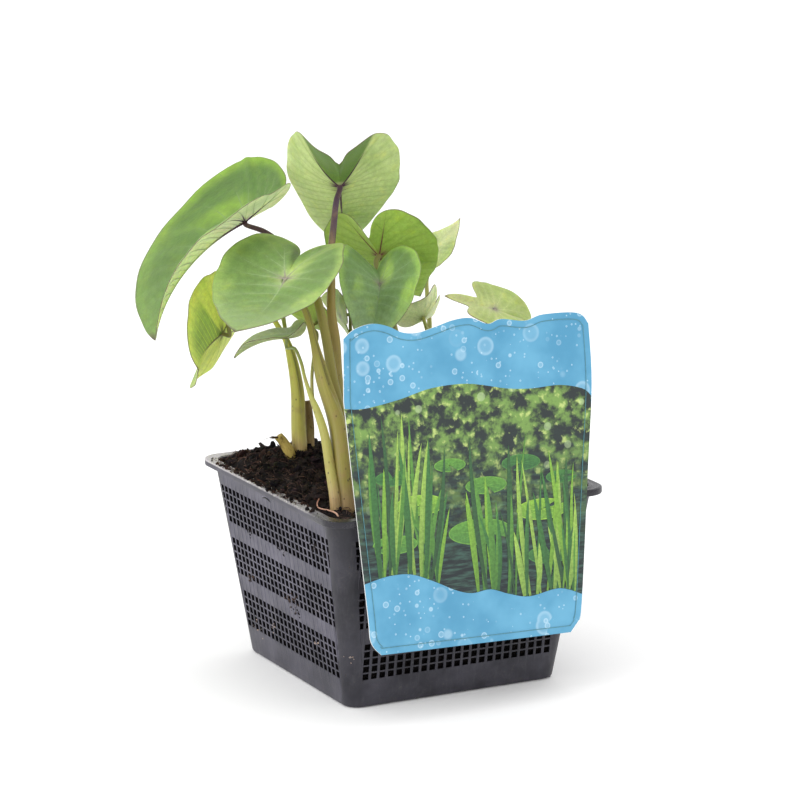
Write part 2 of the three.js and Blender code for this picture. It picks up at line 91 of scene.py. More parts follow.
SOIL_LEVEL = 69.4
MOUNDS = [
    # x, y, height, spread along x, spread along y
    [-26, 33, 6.0, 17, 14],
    [-44, 2, 2.0, 8, 16],
    [10, 24, 1.6, 25, 20],
]
STEM_DEPTH = 12
SOIL_TOP = 67           # where the soil's sides end below its heaped top
DAMP, DRY, PALE = (0.6, 0.6, 0.6), (3.4, 3.2, 2.7), (24, 25, 21)
WALL_DIRT = [
    # along the left wall, height, spread, how many grains, how bright
    [-30, 58, 2.6, 34, DAMP],
    [-39, 57.5, 1.6, 16, DAMP],
    [24, 49.5, 1.5, 16, DAMP],
    [-3, 49.5, 1.6, 18, DAMP],
    [28, 31, 1.8, 26, DRY],
    [-5, 31, 2.6, 46, DRY],
    [-8.5, 27.5, 1.8, 20, DAMP],
    [29.5, 11.5, 2.6, 12, PALE],
    [13.5, 15.5, 2.2, 8, PALE],
    [-23, 20, 1.8, 8, PALE],
    [-44, 19, 1.4, 6, PALE],
    [-33, 42, 3, 8, DAMP],
]

# Card

CARD_AT = [-1.4, -56.1, 72]
CARD_LEAN = 7.8         # degrees, top edge back over the pot
CARD_ROLL = -2.3        # degrees, right-hand end down
CARD_THICKNESS = 0.8
CARD_TOP_EDGE = [
    # along the card, up the card
    [-47.6, 61], [-43.5, 64], [-37, 65.6], [-31, 64.6], [-25, 62], [-19, 61.6],
    [-12, 63.3], [-5, 65.2], [1.7, 65.5], [8.3, 63.1], [13.5, 64.5], [23, 63.4],
    [30.2, 65.2], [44, 65], [48.4, 61],
]
CARD_RIGHT_EDGE = [[49.2, 40], [47, 11], [43.2, -37], [41.5, -44]]
CARD_BOTTOM_EDGE = [[38.4, -47.6], [-36.4, -48.7]]
CARD_LEFT_EDGE = [[-40.2, -44], [-41.2, -34], [-44.8, 3.3], [-48.1, 39.5]]
TONGUE_WIDTH = 14       # strip that hooks over the rim
TONGUE_DEPTH = 22

# Where the printed areas meet: along the card, up the card
HEADER_LINE = [
    [-48.2, 37.2], [-40.5, 36.7], [-27, 39], [-14.6, 42.1], [-0.2, 42.8], [15.1, 40.2],
    [25, 39.6], [36.2, 40.1], [45.4, 38.3], [48.8, 35.6],
]
FOOTER_LINE = [
    [-42.2, -23.7], [-33.3, -21.7], [-24.4, -21.7], [-15.6, -24.8], [-6.7, -28.8],
    [-0.4, -30.3], [6.8, -29.6], [14, -31.8], [22.3, -33.4], [34.3, -31.6], [43.3, -34.4],
]

# Printed scene: floating leaves along and up the card, with their reach; then reeds in
# clusters, each with its spread and their number

PADS = [
    (-30, 12, 7), (-8, 15, 6), (20, 14, 7.5), (36, 8, 6), (6, 7, 8), (-20, 2, 9.5), (28, -3, 10),
    (3, -9, 12), (-30, -11, 8.5), (31, -19, 9),
]
REEDS = [(-26, 13, 30), (8, 9, 14), (30, 12, 26)]
PRINTED_GREENS = [(122, 168, 62), (88, 140, 60), (60, 112, 58), (146, 182, 84), (52, 92, 56)]

# Leaves: the join's place, the midrib's heading, pitch and roll in degrees, and the
# blade's length from the join to the tip. wide, fold, curl and lobes: left and right half.
# PLAIN_LEAF holds what most leaves share: dents are degrees, spread and depth, inner_curl
# is how far the lobes' inner edges curl over, in millimetres, swell how far they bulge
# into the notch, and rib_end the degrees where the lobes' ribs end. The rest is colour;
# among it the sheen towards the tip, the light through the underside and the shade on the
# fold and by the notch are painted light and shade.

PLAIN_LEAF = dict(
    dents=[], inner_curl=0, swell=0, rib_end=157, painted_tip_sheen=0.8, painted_underside_glow=None,
    pale_rib=None, shaded_lobes=False, painted_fold_shade=False, notch_shade=0,
)

LEAVES = {
    "upper_left": dict(
        at=[-42, 40.5, 160], heading=143, pitch=-28, roll=50, length=58.5,
        wide=[1.08, 1.08], back=0.76, fold=[-30, 80], curl=[-20, 8], lobes=[3, 3],
        droop=76, lift=22, twist=-1, dents=[(140, 13, 0.2)],
        painted_underside_glow=(222, 238, 170), pale_rib=(176, 196, 130),
    ),
    "middle_left": dict(
        at=[-43.5, 4, 145.5], heading=-139, pitch=-29, roll=1, length=45.5,
        wide=[0.82, 1.04], back=1.09, fold=[10, 7], curl=[-5, 7], lobes=[1, 8],
        droop=-30, lift=-23, twist=-2, inner_curl=1.6, notch_shade=0.5,
    ),
    "top": dict(
        at=[-8.5, 31, 171.5], heading=60, pitch=-56, roll=0, length=40.5,
        wide=[1.16, 1.14], back=1.07, fold=[7, 27], curl=[45, 2], lobes=[3, 5],
        droop=-28, lift=-17, twist=-1, inner_curl=-3.2, swell=0.45, rib_end=147,
        shaded_lobes=True,
    ),
    "back_right": dict(
        at=[7, 30.5, 145], heading=22, pitch=-57, roll=-13, length=34,
        wide=[1.27, 1.22], back=1.05, fold=[12, 27], curl=[-10, -6], lobes=[0, -4],
        droop=-41, lift=10, twist=-5, inner_curl=-1.2,
    ),
    "front_right": dict(
        at=[-1.5, 13.5, 138], heading=-118, pitch=-35, roll=-29, length=28,
        wide=[1.14, 1.28], back=0.96, fold=[63, 16], curl=[-9, -8], lobes=[8, 6],
        droop=51, lift=-51, twist=4, inner_curl=1,
    ),
    "low_left": dict(
        at=[-51, 41.5, 119.5], heading=-148, pitch=-12, roll=86, length=38,
        wide=[1.12, 0.98], back=1.08, fold=[13, 25], curl=[-4, 6], lobes=[16, -4],
        droop=41, lift=12, twist=12, dents=[(0, 7, 0.16)], painted_tip_sheen=0, painted_fold_shade=True,
    ),
    "low_right": dict(
        at=[37, -2, 128], heading=167, pitch=18, roll=-18, length=21,
        wide=[1.01, 1.2], back=1.48, fold=[6, 24], curl=[-20, -11], lobes=[24, 3],
        droop=0.5, lift=-14, twist=-7, dents=[(-22, 14, 0.5), (16, 10, 0.3)],
    ),
    "far_right": dict(
        at=[42.5, 56, 139], heading=-4, pitch=35, roll=-17, length=16.5,
        wide=[1.16, 1.04], back=1, fold=[23, -25], curl=[32, -12], lobes=[0, -2],
        droop=-21, lift=-1, twist=-15, inner_curl=-1.4, swell=0.15,
        shaded_lobes=True,
    ),
    "folded_right": dict(
        at=[23, 26.5, 121], heading=137, pitch=-44, roll=52, length=17,
        wide=[1.03, 0.99], back=1.39, fold=[4, 44], curl=[-14, 0.5], lobes=[-28, 0],
        droop=-82, lift=41, twist=-3,
    ),
    "small_left": dict(
        at=[-42.5, 5.5, 124], heading=152, pitch=1, roll=10, length=20.5,
        wide=[1.28, 1.1], back=0.96, fold=[25, 30], curl=[-33, -21], lobes=[9, 10],
        droop=44, lift=59, twist=1,
    ),
    "small_middle": dict(
        at=[-27, 12, 127], heading=105, pitch=6, roll=70, length=15,
        wide=[1.11, 1], back=1, fold=[12, 24], curl=[-10, 11], lobes=[0, 0],
        droop=5, lift=0, twist=11,
    ),
    "small_back": dict(
        at=[-15, 17.5, 126.5], heading=84, pitch=15, roll=-107, length=17.5,
        wide=[1, 1.11], back=0.98, fold=[-3, -2], curl=[-16, -13], lobes=[0, -8],
        droop=-8, lift=10, twist=5,
    ),
}

# Outline of a flat blade: degrees from the tip about the join, share of the length

OUTLINE = [
    [0, 1], [4, 0.93], [9, 0.855], [16, 0.775], [26, 0.69], [40, 0.61], [58, 0.555],
    [78, 0.53], [98, 0.53], [118, 0.55], [138, 0.575], [153, 0.565], [165, 0.5],
    [174, 0.38], [180, 0.26],
]

RIPPLE = 0.0085         # unevenness of the outline, as a share of the radius
MARGIN_SHARE = 0.93     # how far the lobe ribs and fine veins run towards the edge

# Veins of one half: where each leaves the midrib, and the angle where it meets the edge

SIDE_VEINS = [(0.78, 6.5), (0.66, 11), (0.54, 17), (0.42, 25), (0.3, 35), (0.19, 48), (0.09, 63)]
ROUND_VEINS = [82, 104]
LOBE_VEINS = [(0.3, 122), (0.5, 137), (0.62, 170), (0.75, 148)]
FINE_VEINS = [
    (0.72, 8.5), (0.6, 14), (0.48, 21), (0.36, 30), (0.245, 41), (0.14, 55), (0.05, 72),
]
FINE_ROUND_VEINS = [93, 115]

# Leaf stalks: x, y, z and radius, from the soil up to just below the blade

STALKS = {
    "middle_left": [
        [-37.5, -30, 70, 3.5], [-36, -21.5, 97, 3.1], [-38.5, -15, 113.5, 2.6],
        [-39, -9.5, 125, 1.35], [-39.5, -4.5, 134.5, 1.2], [-41, -0.5, 140, 1.1],
    ],
    "upper_left": [
        [-32, -23, 72, 2], [-31, -15.5, 95.5, 1.9], [-32, -10, 111.5, 1.8],
        [-32, -5.5, 123.5, 1.7], [-32.5, -2, 133, 1.6], [-32, 3, 138.5, 1.4],
        [-30, 15, 145, 1.2], [-29.5, 24, 149, 1.1], [-31.5, 34, 153, 0.95],
        [-36, 38, 156.5, 0.95],
    ],
    "top": [
        [-29, -15.5, 71, 2], [-28, -9.5, 93.5, 2], [-27.5, -4.5, 110, 2],
        [-26.5, -1, 122.5, 1.8], [-26.5, 2, 132, 1.6], [-23, 9, 142.5, 1.4],
        [-19.5, 16, 152, 1.3], [-16, 21.3, 159, 1.2], [-12.3, 26.3, 167.5, 1.05],
    ],
    "small_left": [
        [-42, -31.5, 72.5, 1.8], [-41.5, -27, 83, 1.8], [-41.5, -22.5, 95, 1.7],
        [-42.5, -19, 102.5, 1.4], [-43.5, -16, 107.5, 0.9], [-44, -12.5, 113, 0.65],
        [-43, -7, 118, 0.6], [-42.5, -1, 121.5, 0.6],
    ],
    "small_middle": [
        [-36.5, -21.5, 71.5, 0.7], [-38, -15.5, 91, 0.7], [-39.5, -10, 102.5, 0.65],
        [-38.5, -6.5, 111.5, 0.6], [-35, -1.5, 119.5, 0.6], [-30.5, 5.5, 124.5, 0.55],
    ],
    "low_left": [
        [-26.5, 28.5, 75.5, 2.7], [-26, 30.5, 85, 2.6], [-25.5, 32.5, 98, 2.4],
        [-26, 35.5, 108.5, 1.9], [-27.5, 37, 115.5, 1.2], [-30.5, 38.5, 121.5, 0.95],
        [-35, 40.5, 129.5, 0.9], [-41, 41, 133.5, 0.9], [-46, 40.5, 131, 0.85],
        [-49.5, 39.5, 124, 0.8],
    ],
    "small_back": [
        [-1.5, 4.5, 73, 0.8], [-4.5, 12, 100, 0.75], [-8, 17, 116, 0.7],
        [-11, 17.5, 121, 0.65],
    ],
    "front_right": [
        [7.5, 5.5, 73, 1.5], [7.5, 10.5, 95, 1.3], [5.5, 13.5, 117, 1.1],
        [2, 14.5, 130, 1],
    ],
    "back_right": [
        [14, 14, 73, 1.5], [13, 18, 93, 1.3], [9, 21.5, 118.5, 1.1],
        [6, 25.5, 134.5, 1],
    ],
    "far_right": [
        [24.5, 24, 71, 1.3], [29, 33, 96, 1.1], [34, 42.5, 115.5, 0.9],
        [36.5, 49, 123.5, 0.8], [39, 53.5, 130.5, 0.75],
    ],
    "folded_right": [
        [23, 12.5, 72.5, 1], [24.5, 19, 99, 0.9], [23.5, 23.5, 115, 0.75],
    ],
    "low_right": [
        [26.5, 7, 72, 1.2], [29, 7, 93.5, 1.1], [32.5, 4.5, 112.5, 1],
        [35.5, 0.5, 122, 0.9],
    ],
}

# Other growth: the same four numbers

ROLLED_LEAF = [
    [-25.5, 34, 76.5, 0.8], [-24.5, 36.5, 93, 0.8], [-25, 39, 107.5, 0.8],
    [-26, 42, 121.5, 0.8], [-26.5, 44, 129, 1.2], [-27.5, 45.5, 135.5, 1.3],
    [-28.5, 47, 142, 0.5],
]
OLD_SHEATH = [[-21, 31.5, 77, 1.75], [-20.5, 32.5, 84, 1.7], [-20.5, 34.5, 93, 1.6]]
CUT_STUB = [[-31.5, 26.5, 76, 2], [-33, 28, 80, 1.8], [-35, 28.5, 82.5, 1.55]]
SURFACE_ROOT = [
    [-42.5, -20], [-45.5, -24.5], [-47, -29], [-45.5, -34], [-45, -38], [-45.5, -41],
]
ROOT_RADIUS = 0.5

# Camera, as for the photograph: the whole object seen from its front left corner

CAMERA_PLACE = (-618.95, -1196.14, 412.58)
CAMERA_RIGHT = (0.88822, -0.45942, 0)
CAMERA_UP = (0.10444, 0.20192, 0.97382)
CAMERA_BACK = (-0.44740, -0.86496, 0.22733)


def srgb(red, green, blue):
    """Colour for a shader, from a shade as seen on a screen, 0 to 255."""
    def linear(value):
        share = value / 255
        return share / 12.92 if share <= 0.04045 else ((share + 0.055) / 1.055) ** 2.4
    return (linear(red), linear(green), linear(blue), 1.0)


def smooth(value, low, high):
    """0 below low, 1 above high and an even S between."""
    t = np.clip((value - low) / (high - low), 0, 1)
    return t * t * (3 - 2 * t)


def blend(first, second, share):
    """Colours from first to second, one for each share."""
    share = np.asarray(share, float)[..., None]
    return np.asarray(first, float) * (1 - share) + np.asarray(second, float) * share


def bell(distance, width):
    """1 at no distance, falling off evenly to nothing over about two widths."""
    return np.exp(-((distance / width) ** 2))


def within(value, low, high):
    """The value, or the end of the range that it lies past."""
    return min(max(value, low), high)


def hermite(near, far, start, end, t):
    """Smooth way from near to far that leaves and arrives with the slopes given."""
    return (
        near * (2 * t**3 - 3 * t**2 + 1) + start * (t**3 - 2 * t**2 + t)
        + far * (3 * t**2 - 2 * t**3) + end * (t**3 - t**2)
    )


def span(value, rise, full, fall, end):
    """0 up to rise, 1 from full to fall and 0 again past end."""
    return smooth(value, rise, full) * (1 - smooth(value, fall, end))


def directions(line):
    """Unit direction of a line at each of its points."""
    ways = np.gradient(line, axis=0)
    return ways / np.linalg.norm(ways, axis=1)[:, None]


def sideways(line):
    """Unit direction square to a flat line, to its left, at each of its points."""
    ways = directions(line)
    return np.stack([-ways[:, 1], ways[:, 0]], -1)


class Finish:
    """A node material, with short calls for the nodes that the finishes share."""

    def __init__(self, name, roughness=0.5, specular=0.5):
        self.material = bpy.data.materials.new(name)
        self.material.use_nodes = True
        self.tree = self.material.node_tree
        self.shader = self.tree.nodes["Principled BSDF"]
        self.set("Roughness", roughness)
        self.set("Specular IOR Level", specular)

    def join(self, value, socket):
        if isinstance(value, bpy.types.NodeSocket):
            self.tree.links.new(value, socket)
        else:
            socket.default_value = value

    def set(self, socket, value):
        self.join(value, self.shader.inputs[socket])

    def node(self, kind, inputs, output=0, **settings):
        """An output of a new node, once its inputs are joined."""
        node = self.tree.nodes.new("ShaderNode" + kind)
        for name, value in settings.items():
            setattr(node, name, value)
        for socket, value in inputs.items():
            self.join(value, node.inputs[socket])
        return node.outputs[output]

    def stretched(self, at, scale):
        return self.node("Mapping", {"Vector": at, "Scale": scale})

    def place(self, stretch=(1, 1, 1)):
        """Place on the piece, in millimetres."""
        at = self.node("TexCoord", {}, "Object")
        return self.stretched(at, [share / MM for share in stretch])

    def flat(self):
        """Place on the flat form that the piece was laid out on."""
        return self.node("UVMap", {}, uv_map="flat")

    def tint(self):
        """The colour that was worked out for each point of the mesh."""
        return self.node("Attribute", {}, "Color", attribute_name="tint")

    def axis(self, vector, name):
        return self.node("SeparateXYZ", {0: vector}, name)

    def noise(self, size, at, detail=4.0, roughness=0.55, distortion=0.0):
        """Cloudy value about 0.5, with clouds of about the size given."""
        inputs = {
            "Vector": at, "Scale": 1 / size, "Detail": detail, "Roughness": roughness,
            "Distortion": distortion,
        }
        return self.node("TexNoise", inputs)

    def cells(self, size, at, output="Distance", feature="F1"):
        return self.node("TexVoronoi", {"Vector": at, "Scale": 1 / size}, output, feature=feature)

    def times(self, first, second):
        return self.node("Math", {0: first, 1: second}, operation="MULTIPLY")

    def plus(self, first, second, clamp=False):
        return self.node("Math", {0: first, 1: second}, operation="ADD", use_clamp=clamp)

    def ramp(self, value, low, high, start=0.0, end=1.0):
        """start below low, end above high and an even S between."""
        inputs = {0: value, 1: low, 2: high, 3: start, 4: end}
        return self.node("MapRange", inputs, interpolation_type="SMOOTHSTEP")

    def mix(self, share, first, second, way="MIX"):
        inputs = {0: share, 6: first, 7: second}
        return self.node("Mix", inputs, 2, data_type="RGBA", blend_type=way)

    def multiply(self, base, colour):
        return self.mix(1.0, base, colour, "MULTIPLY")

    def shaded(self, shade):
        """The mesh's own tint, lighter or darker."""
        grey = self.node("CombineColor", {0: shade, 1: shade, 2: shade})
        return self.multiply(self.tint(), grey)

    def bump(self, height, distance):
        inputs = {"Height": height, "Distance": distance * MM}
        self.set("Normal", self.node("Bump", inputs))


class Shape:
    """Points in millimetres, with faces, finishes and tints, gathered for one piece."""

    def __init__(self):
        self.points = []
        self.faces = []
        self.finishes = []
        self.tints = []
        self.flats = []
        self.count = 0

    def add(self, points, faces, finish=0, tint=(1, 1, 1, 1), flat=None):
        points = np.asarray(points, float).reshape(-1, 3)
        start = self.count
        self.points.append(points)
        self.faces.extend(tuple(start + int(corner) for corner in face) for face in faces)
        self.finishes.extend([finish] * len(faces))
        self.tints.append(np.broadcast_to(np.asarray(tint, float), (len(points), 4)))
        flat = np.zeros((len(points), 2)) if flat is None else np.asarray(flat, float)
        self.flats.append(flat.reshape(-1, 2))
        self.count += len(points)

    def piece(self, name, slot, materials, nodes=(), sharp=None):
        """The finished object: smooth, or with edges over sharp degrees kept."""
        mesh = bpy.data.meshes.new(name)
        mesh.from_pydata((np.concatenate(self.points) * MM).tolist(), [], self.faces)
        mesh.polygons.foreach_set("material_index", self.finishes)
        tints = mesh.attributes.new("tint", "FLOAT_COLOR", "POINT")
        tints.data.foreach_set("color", np.concatenate(self.tints).astype(np.float32).ravel())
        corners = np.empty(len(mesh.loops), np.int32)
        mesh.loops.foreach_get("vertex_index", corners)
        flat = mesh.uv_layers.new(name="flat")
        flat.data.foreach_set(
            "uv", np.concatenate(self.flats)[corners].astype(np.float32).ravel(),
        )
        for material in materials:
            mesh.materials.append(material)
        mesh.shade_smooth()
        if sharp is not None:
            mesh.set_sharp_from_angle(angle=math.radians(sharp))
        mesh.update()
        thing = bpy.data.objects.new(name, mesh)
        bpy.context.scene.collection.objects.link(thing)
        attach(thing, BODY)
        if nodes:
            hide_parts(*nodes)
        return thing


def tidy_mesh(thing):
    """Joins points that lie in one place and drops faces with no area."""
    reach = 0.0005 * MM
    work = bmesh.new()
    work.from_mesh(thing.data)
    bmesh.ops.remove_doubles(work, verts=work.verts, dist=reach)
    bmesh.ops.dissolve_degenerate(work, edges=work.edges, dist=reach)
    work.to_mesh(thing.data)
    work.free()


def grid_faces(rows, columns, closed=False):
    """Faces of a grid of points, row by row; closed joins each row's ends."""
    faces = []
    for row in range(rows - 1):
        for column in range(columns if closed else columns - 1):
            after = (column + 1) % columns
            low, high = row * columns, (row + 1) * columns
            faces.append((low + column, low + after, high + after, high + column))
    return faces


def through(points, steps):
    """Smooth line through points of any number of values, steps to each stretch."""
    points = np.array(points, float)
    line = []
    last = len(points) - 1
    for i in range(last):
        near, far = points[i], points[i + 1]
        before = points[i - 1] if i else 2 * near - far
        after = points[i + 2] if i + 2 <= last else 2 * far - near
        gaps = [
            max(math.sqrt(np.linalg.norm((b - a)[:3])), 1e-4)
            for a, b in ((before, near), (near, far), (far, after))
        ]
        start = (near - before) / gaps[0] - (far - before) / (gaps[0] + gaps[1])
        start = (start + (far - near) / gaps[1]) * gaps[1]
        end = (far - near) / gaps[1] - (after - near) / (gaps[1] + gaps[2])
        end = (end + (after - far) / gaps[2]) * gaps[1]
        line += [hermite(near, far, start, end, step / steps) for step in range(steps)]
    line.append(points[-1])
    return np.array(line)


def side_frames(line):
    """Two directions across a line at each point, carried along it without twist."""
    ways = directions(line[:, :3])
    side = np.array([0.0, -1.0, 0.0])
    sides = []
    for way in ways:
        side = side - way * (side @ way)
        side /= np.linalg.norm(side)
        sides.append(side)
    sides = np.array(sides)
    return sides, np.cross(ways, sides)


def add_tube(shape, line, sides, tint=(1, 1, 1, 1), form=None):
    """A closed tube about a line of x, y, z and radius.

    tint is one colour, or one for each point of the rings; form(share, angle) scales them.
    """
    rows = len(line)
    across, over = side_frames(line)
    angles = np.arange(sides) * 2 * math.pi / sides
    radius = np.maximum(line[:, 3:4], 0.05) * np.ones((1, sides))
    if form is not None:
        radius = radius * form(np.linspace(0, 1, rows)[:, None], angles[None, :])
    rings = (
        line[:, None, :3]
        + across[:, None, :] * (radius * np.cos(angles))[..., None]
        + over[:, None, :] * (radius * np.sin(angles))[..., None]
    )
    faces = [face[::-1] for face in grid_faces(rows, sides, closed=True)]
    faces.append(tuple(range(sides)))
    faces.append(tuple(range((rows - 1) * sides, rows * sides))[::-1])
    flat = np.meshgrid(np.linspace(0, 1, rows), np.linspace(0, 1, sides), indexing="ij")
    tint = np.asarray(tint, float)
    if tint.ndim == 3:
        tint = tint.reshape(-1, 4)
    shape.add(rings, faces, 0, tint, np.stack(flat, -1))


def flat_triangles(loops):
    """Triangles that fill flat loops of points, all facing up."""
    points = [point for loop in loops for point in loop]
    faces = []
    for a, b, c in tessellate_polygon([[Vector((x, y, 0)) for x, y in loop] for loop in loops]):
        (ax, ay), (bx, by), (cx, cy) = points[a], points[b], points[c]
        if (bx - ax) * (cy - ay) - (by - ay) * (cx - ax) < 0:
            b, c = c, b
        faces.append((a, b, c))
    return faces


# Basket


def wall_half(z):
    """Half the outer width of the basket's walls at a height."""
    share = z / (BASKET_HEIGHT - RIM_HEIGHT)
    return BASE_HALF + (WALL_TOP_HALF - BASE_HALF) * share


def corner_at(z):
    return BASE_CORNER + (TOP_CORNER - BASE_CORNER) * z / BASKET_HEIGHT


def rounded_square(half, corner, z, steps=8, between=1):
    """Points round a square with round corners, with extra points along its sides."""
    reach = half - corner
    side = [(half, -reach + 2 * reach * step / between) for step in range(between)]
    for step in range(steps):
        angle = math.pi / 2 * step / steps
        side.append((reach + corner * math.cos(angle), reach + corner * math.sin(angle)))
    points = []
    for quarter in range(4):
        turn = Matrix.Rotation(quarter * math.pi / 2, 3, "Z")
        points += [tuple(turn @ Vector((x, y, z))) for x, y in side]
    return points


def wall_lines(opening):
    """Places across a wall, from one end to the other, and how far the ribs stand up there."""
    lines = []
    for column in range(-MOST_COLUMNS, MOST_COLUMNS + 1):
        middle = column * COLUMN_PITCH
        lines += [(middle - opening / 2, 0), (middle + opening / 2, 0)]
        if column < MOST_COLUMNS:
            rib = middle + COLUMN_PITCH / 2
            lines += [(rib - 0.42, 0), (rib - 0.24, 1), (rib + 0.24, 1), (rib + 0.42, 0)]
    return lines


def wall_heights(opening):
    """Heights up a wall, and whether a row of openings begins there."""
    heights = [(0, False), (0.25, False), (0.9, False), (4.5, False), (RIB_SPAN[0], False)]
    for bottom in BAND_BOTTOMS:
        for row in range(BAND_ROWS):
            low = bottom + row * ROW_PITCH
            heights += [(low, True), (low + opening, False)]
        heights.append((low + opening + 3.2, False))
    heights = heights[:-1]
    heights += [(RIB_SPAN[1], False), (68.6, False), (70.9, False)]
    return heights


def add_walls(shape, settings):
    """The four walls in one skin, with their rows of square openings and fine ribs."""
    opening = settings.opening / MM
    lines = wall_lines(opening)
    heights = wall_heights(opening)
    per_quarter = len(lines) + CORNER_STEPS + 1
    rng = random.Random(11)
    levels = np.array([height for height, _ in heights])
    half = wall_half(levels)
    corner = corner_at(levels)
    foot = np.array([0.9, 0.3, 0] + [0] * (len(levels) - 3))   # round lower edge
    low, high = RIB_SPAN
    ribbed = span(levels, low - 0.1, low + 2, high - 2, high + 0.2)
    wobble = [rng.uniform(-0.05, 0.05) for _ in lines]

    def skin(depth, rib):
        """Points of the whole wall, a depth in from its outer face."""
        rows = []
        for k, z in enumerate(levels):
            reach = half[k] - corner[k]
            out = half[k] - depth - foot[k]
            row = []
            for (place, stands), shift in zip(lines, wobble):
                along = within(place + (0 if stands else shift), -reach, reach)
                row.append((out + stands * rib * ribbed[k], along))
            turn = corner[k] - depth - foot[k]
            for step in range(CORNER_STEPS + 1):
                angle = math.pi / 2 * step / CORNER_STEPS
                row.append((reach + turn * math.cos(angle), reach + turn * math.sin(angle)))
            points = []
            for quarter in range(4):
                for x, y in row:
                    for _ in range(quarter):
                        x, y = -y, x
                    points.append((x, y, z))
            rows.append(points)
        return np.array(rows)

    outer = skin(0, settings.rib / MM)
    inner = skin(settings.wall / MM, 0)
    across = 4 * per_quarter
    count = len(levels) * across
    points = np.concatenate([outer.reshape(-1, 3), inner.reshape(-1, 3)])
    lining = []
    faces = []
    for row in range(len(levels) - 1):
        reach = min(half[row] - corner[row], half[row + 1] - corner[row + 1])
        for quarter in range(4):
            for k in range(per_quarter):
                here = quarter * per_quarter + k
                after = (here + 1) % across
                low, high = row * across, (row + 1) * across
                corners = (low + here, low + after, high + after, high + here)
                inside = tuple(count + corner for corner in corners)
                wide = 0
                if heights[row][1] and k + 1 < len(lines) and k % PLACES_A_COLUMN == 0:
                    wide = min(lines[k + 1][0], reach) - max(lines[k][0], -reach)
                if wide <= LEAST_OPENING:
                    faces += [corners, inside[::-1]]
                    continue
                ledge = [2 * count + len(lining) + side for side in range(4)]
                lining += [
                    points[a] + (points[b] - points[a]) * 0.1 for a, b in zip(corners, inside)
                ]
                for side in range(4):
                    a, b = side, (side + 1) % 4
                    faces += [
                        (corners[b], corners[a], ledge[a], ledge[b]),
                        (ledge[b], ledge[a], inside[a], inside[b]),
                    ]
    top = (len(levels) - 1) * across
    for here in range(across):
        after = (here + 1) % across
        faces += [
            (top + here, top + after, count + top + after, count + top + here),
            (here, count + here, count + after, after),
        ]
    tints = np.ones((2 * count + len(lining), 4))
    tints[count:, :3] = 0.08    # painted shade: the inner face and the openings' sides are dark
    on_corner = np.arange(count) % per_quarter >= len(lines) - 1
    quarter = np.arange(count) % across // per_quarter
    # painted shade: the front wall is much darker, the back and right walls a little
    shades = np.array([0.95, 0.95, 1, 0.62])[quarter]
    dust_and_painted_light = 1.05 + 0.5 * smooth(points[:count, 2], 6, 30)     # painted light: the left wall is lighter, more so higher up
    tints[:count, :3] = np.where(quarter == 2, dust_and_painted_light, shades)[:, None]
    # painted shade: the rounded corners are darker
    tints[:count][on_corner, :3] = 0.5
    shape.add(np.concatenate([points, lining]), faces, 0, tints)


def add_rim(shape):
    """Rim folded out and down, with its soft outer edge and a low bead along the inside."""
    top = BASKET_HEIGHT
    under = top - RIM_HEIGHT
    profile = [
        # half width, corner, height
        (wall_half(70.4) - 0.7, 6.3, 70.3), (wall_half(70.9) - WALL, 6.2, 70.6),
        (wall_half(top) - WALL + 0.05, 6.3, 71.6), (wall_half(top) - WALL + 0.35, 6.5, 71.92),
        (wall_half(top) - 0.2, 6.7, 72),
        (wall_half(top) + 0.25, 6.8, 71.8), (RIM_HALF - 1.7, 7.1, 71.7),
        (RIM_HALF - 1.0, 7.2, 71.95), (RIM_HALF - 0.45, 7.4, 71.9),
        (RIM_HALF - 0.12, 7.5, 71.6), (RIM_HALF, 7.6, 71.1), (RIM_HALF, 7.6, under + 0.3),
        (RIM_HALF - 0.15, 7.5, under + 0.05), (RIM_HALF - 0.5, 7.4, under),
        (RIM_HALF - 1.05, 7.0, under + 0.05), (RIM_HALF - 1.2, 6.9, under + 0.3),
        (RIM_HALF - 1.2, 6.9, 70.5), (RIM_HALF - 1.4, 6.8, 70.75),
        (wall_half(70.8) + 0.05, 7.3, 70.75),
    ]
    rings = []
    for half, corner, z in profile:
        ring = np.array(rounded_square(half, corner, z, 10, 24))
        sag = 0.22 * np.sin(ring[:, 0] * 0.045 + 1) * np.cos(ring[:, 1] * 0.06)
        ring[:, 2] = np.minimum(ring[:, 2] + sag * (z > 71) * (z < 71.9), top)
        rings.append(ring)
    columns = len(rings[0])
    faces = grid_faces(len(rings), columns, closed=True)
    shape.add(np.concatenate(rings), [face[::-1] for face in faces])


def box_outline(x, y, wide, deep):
    """Corners of a box about its middle, from half its width and half its depth."""
    ways = ((-1, -1), (1, -1), (1, 1), (-1, 1))
    return [(x + wide * across, y + deep * along) for across, along in ways]


def add_plate(shape, outer, holes, low, high):
    """Flat plate between two heights, with holes right through it."""
    loops = [outer, *holes]
    points = [(x, y) for loop in loops for x, y in loop]
    count = len(points)
    faces = []
    for a, b, c in flat_triangles(loops):
        faces += [(count + a, count + b, count + c), (a, c, b)]
    start = 0
    for number, loop in enumerate(loops):
        after = [*loop[1:], loop[0]]
        area = sum(x * next_y - next_x * y for (x, y), (next_x, next_y) in zip(loop, after))
        outward = (area > 0) == (number == 0)
        size = len(loop)
        for i in range(size):
            a, b = start + i, start + (i + 1) % size
            face = (a, b, count + b, count + a)
            faces.append(face if outward else face[::-1])
        start += size
    solid = [(x, y, low) for x, y in points] + [(x, y, high) for x, y in points]
    shape.add(solid, faces, flat=points * 2)


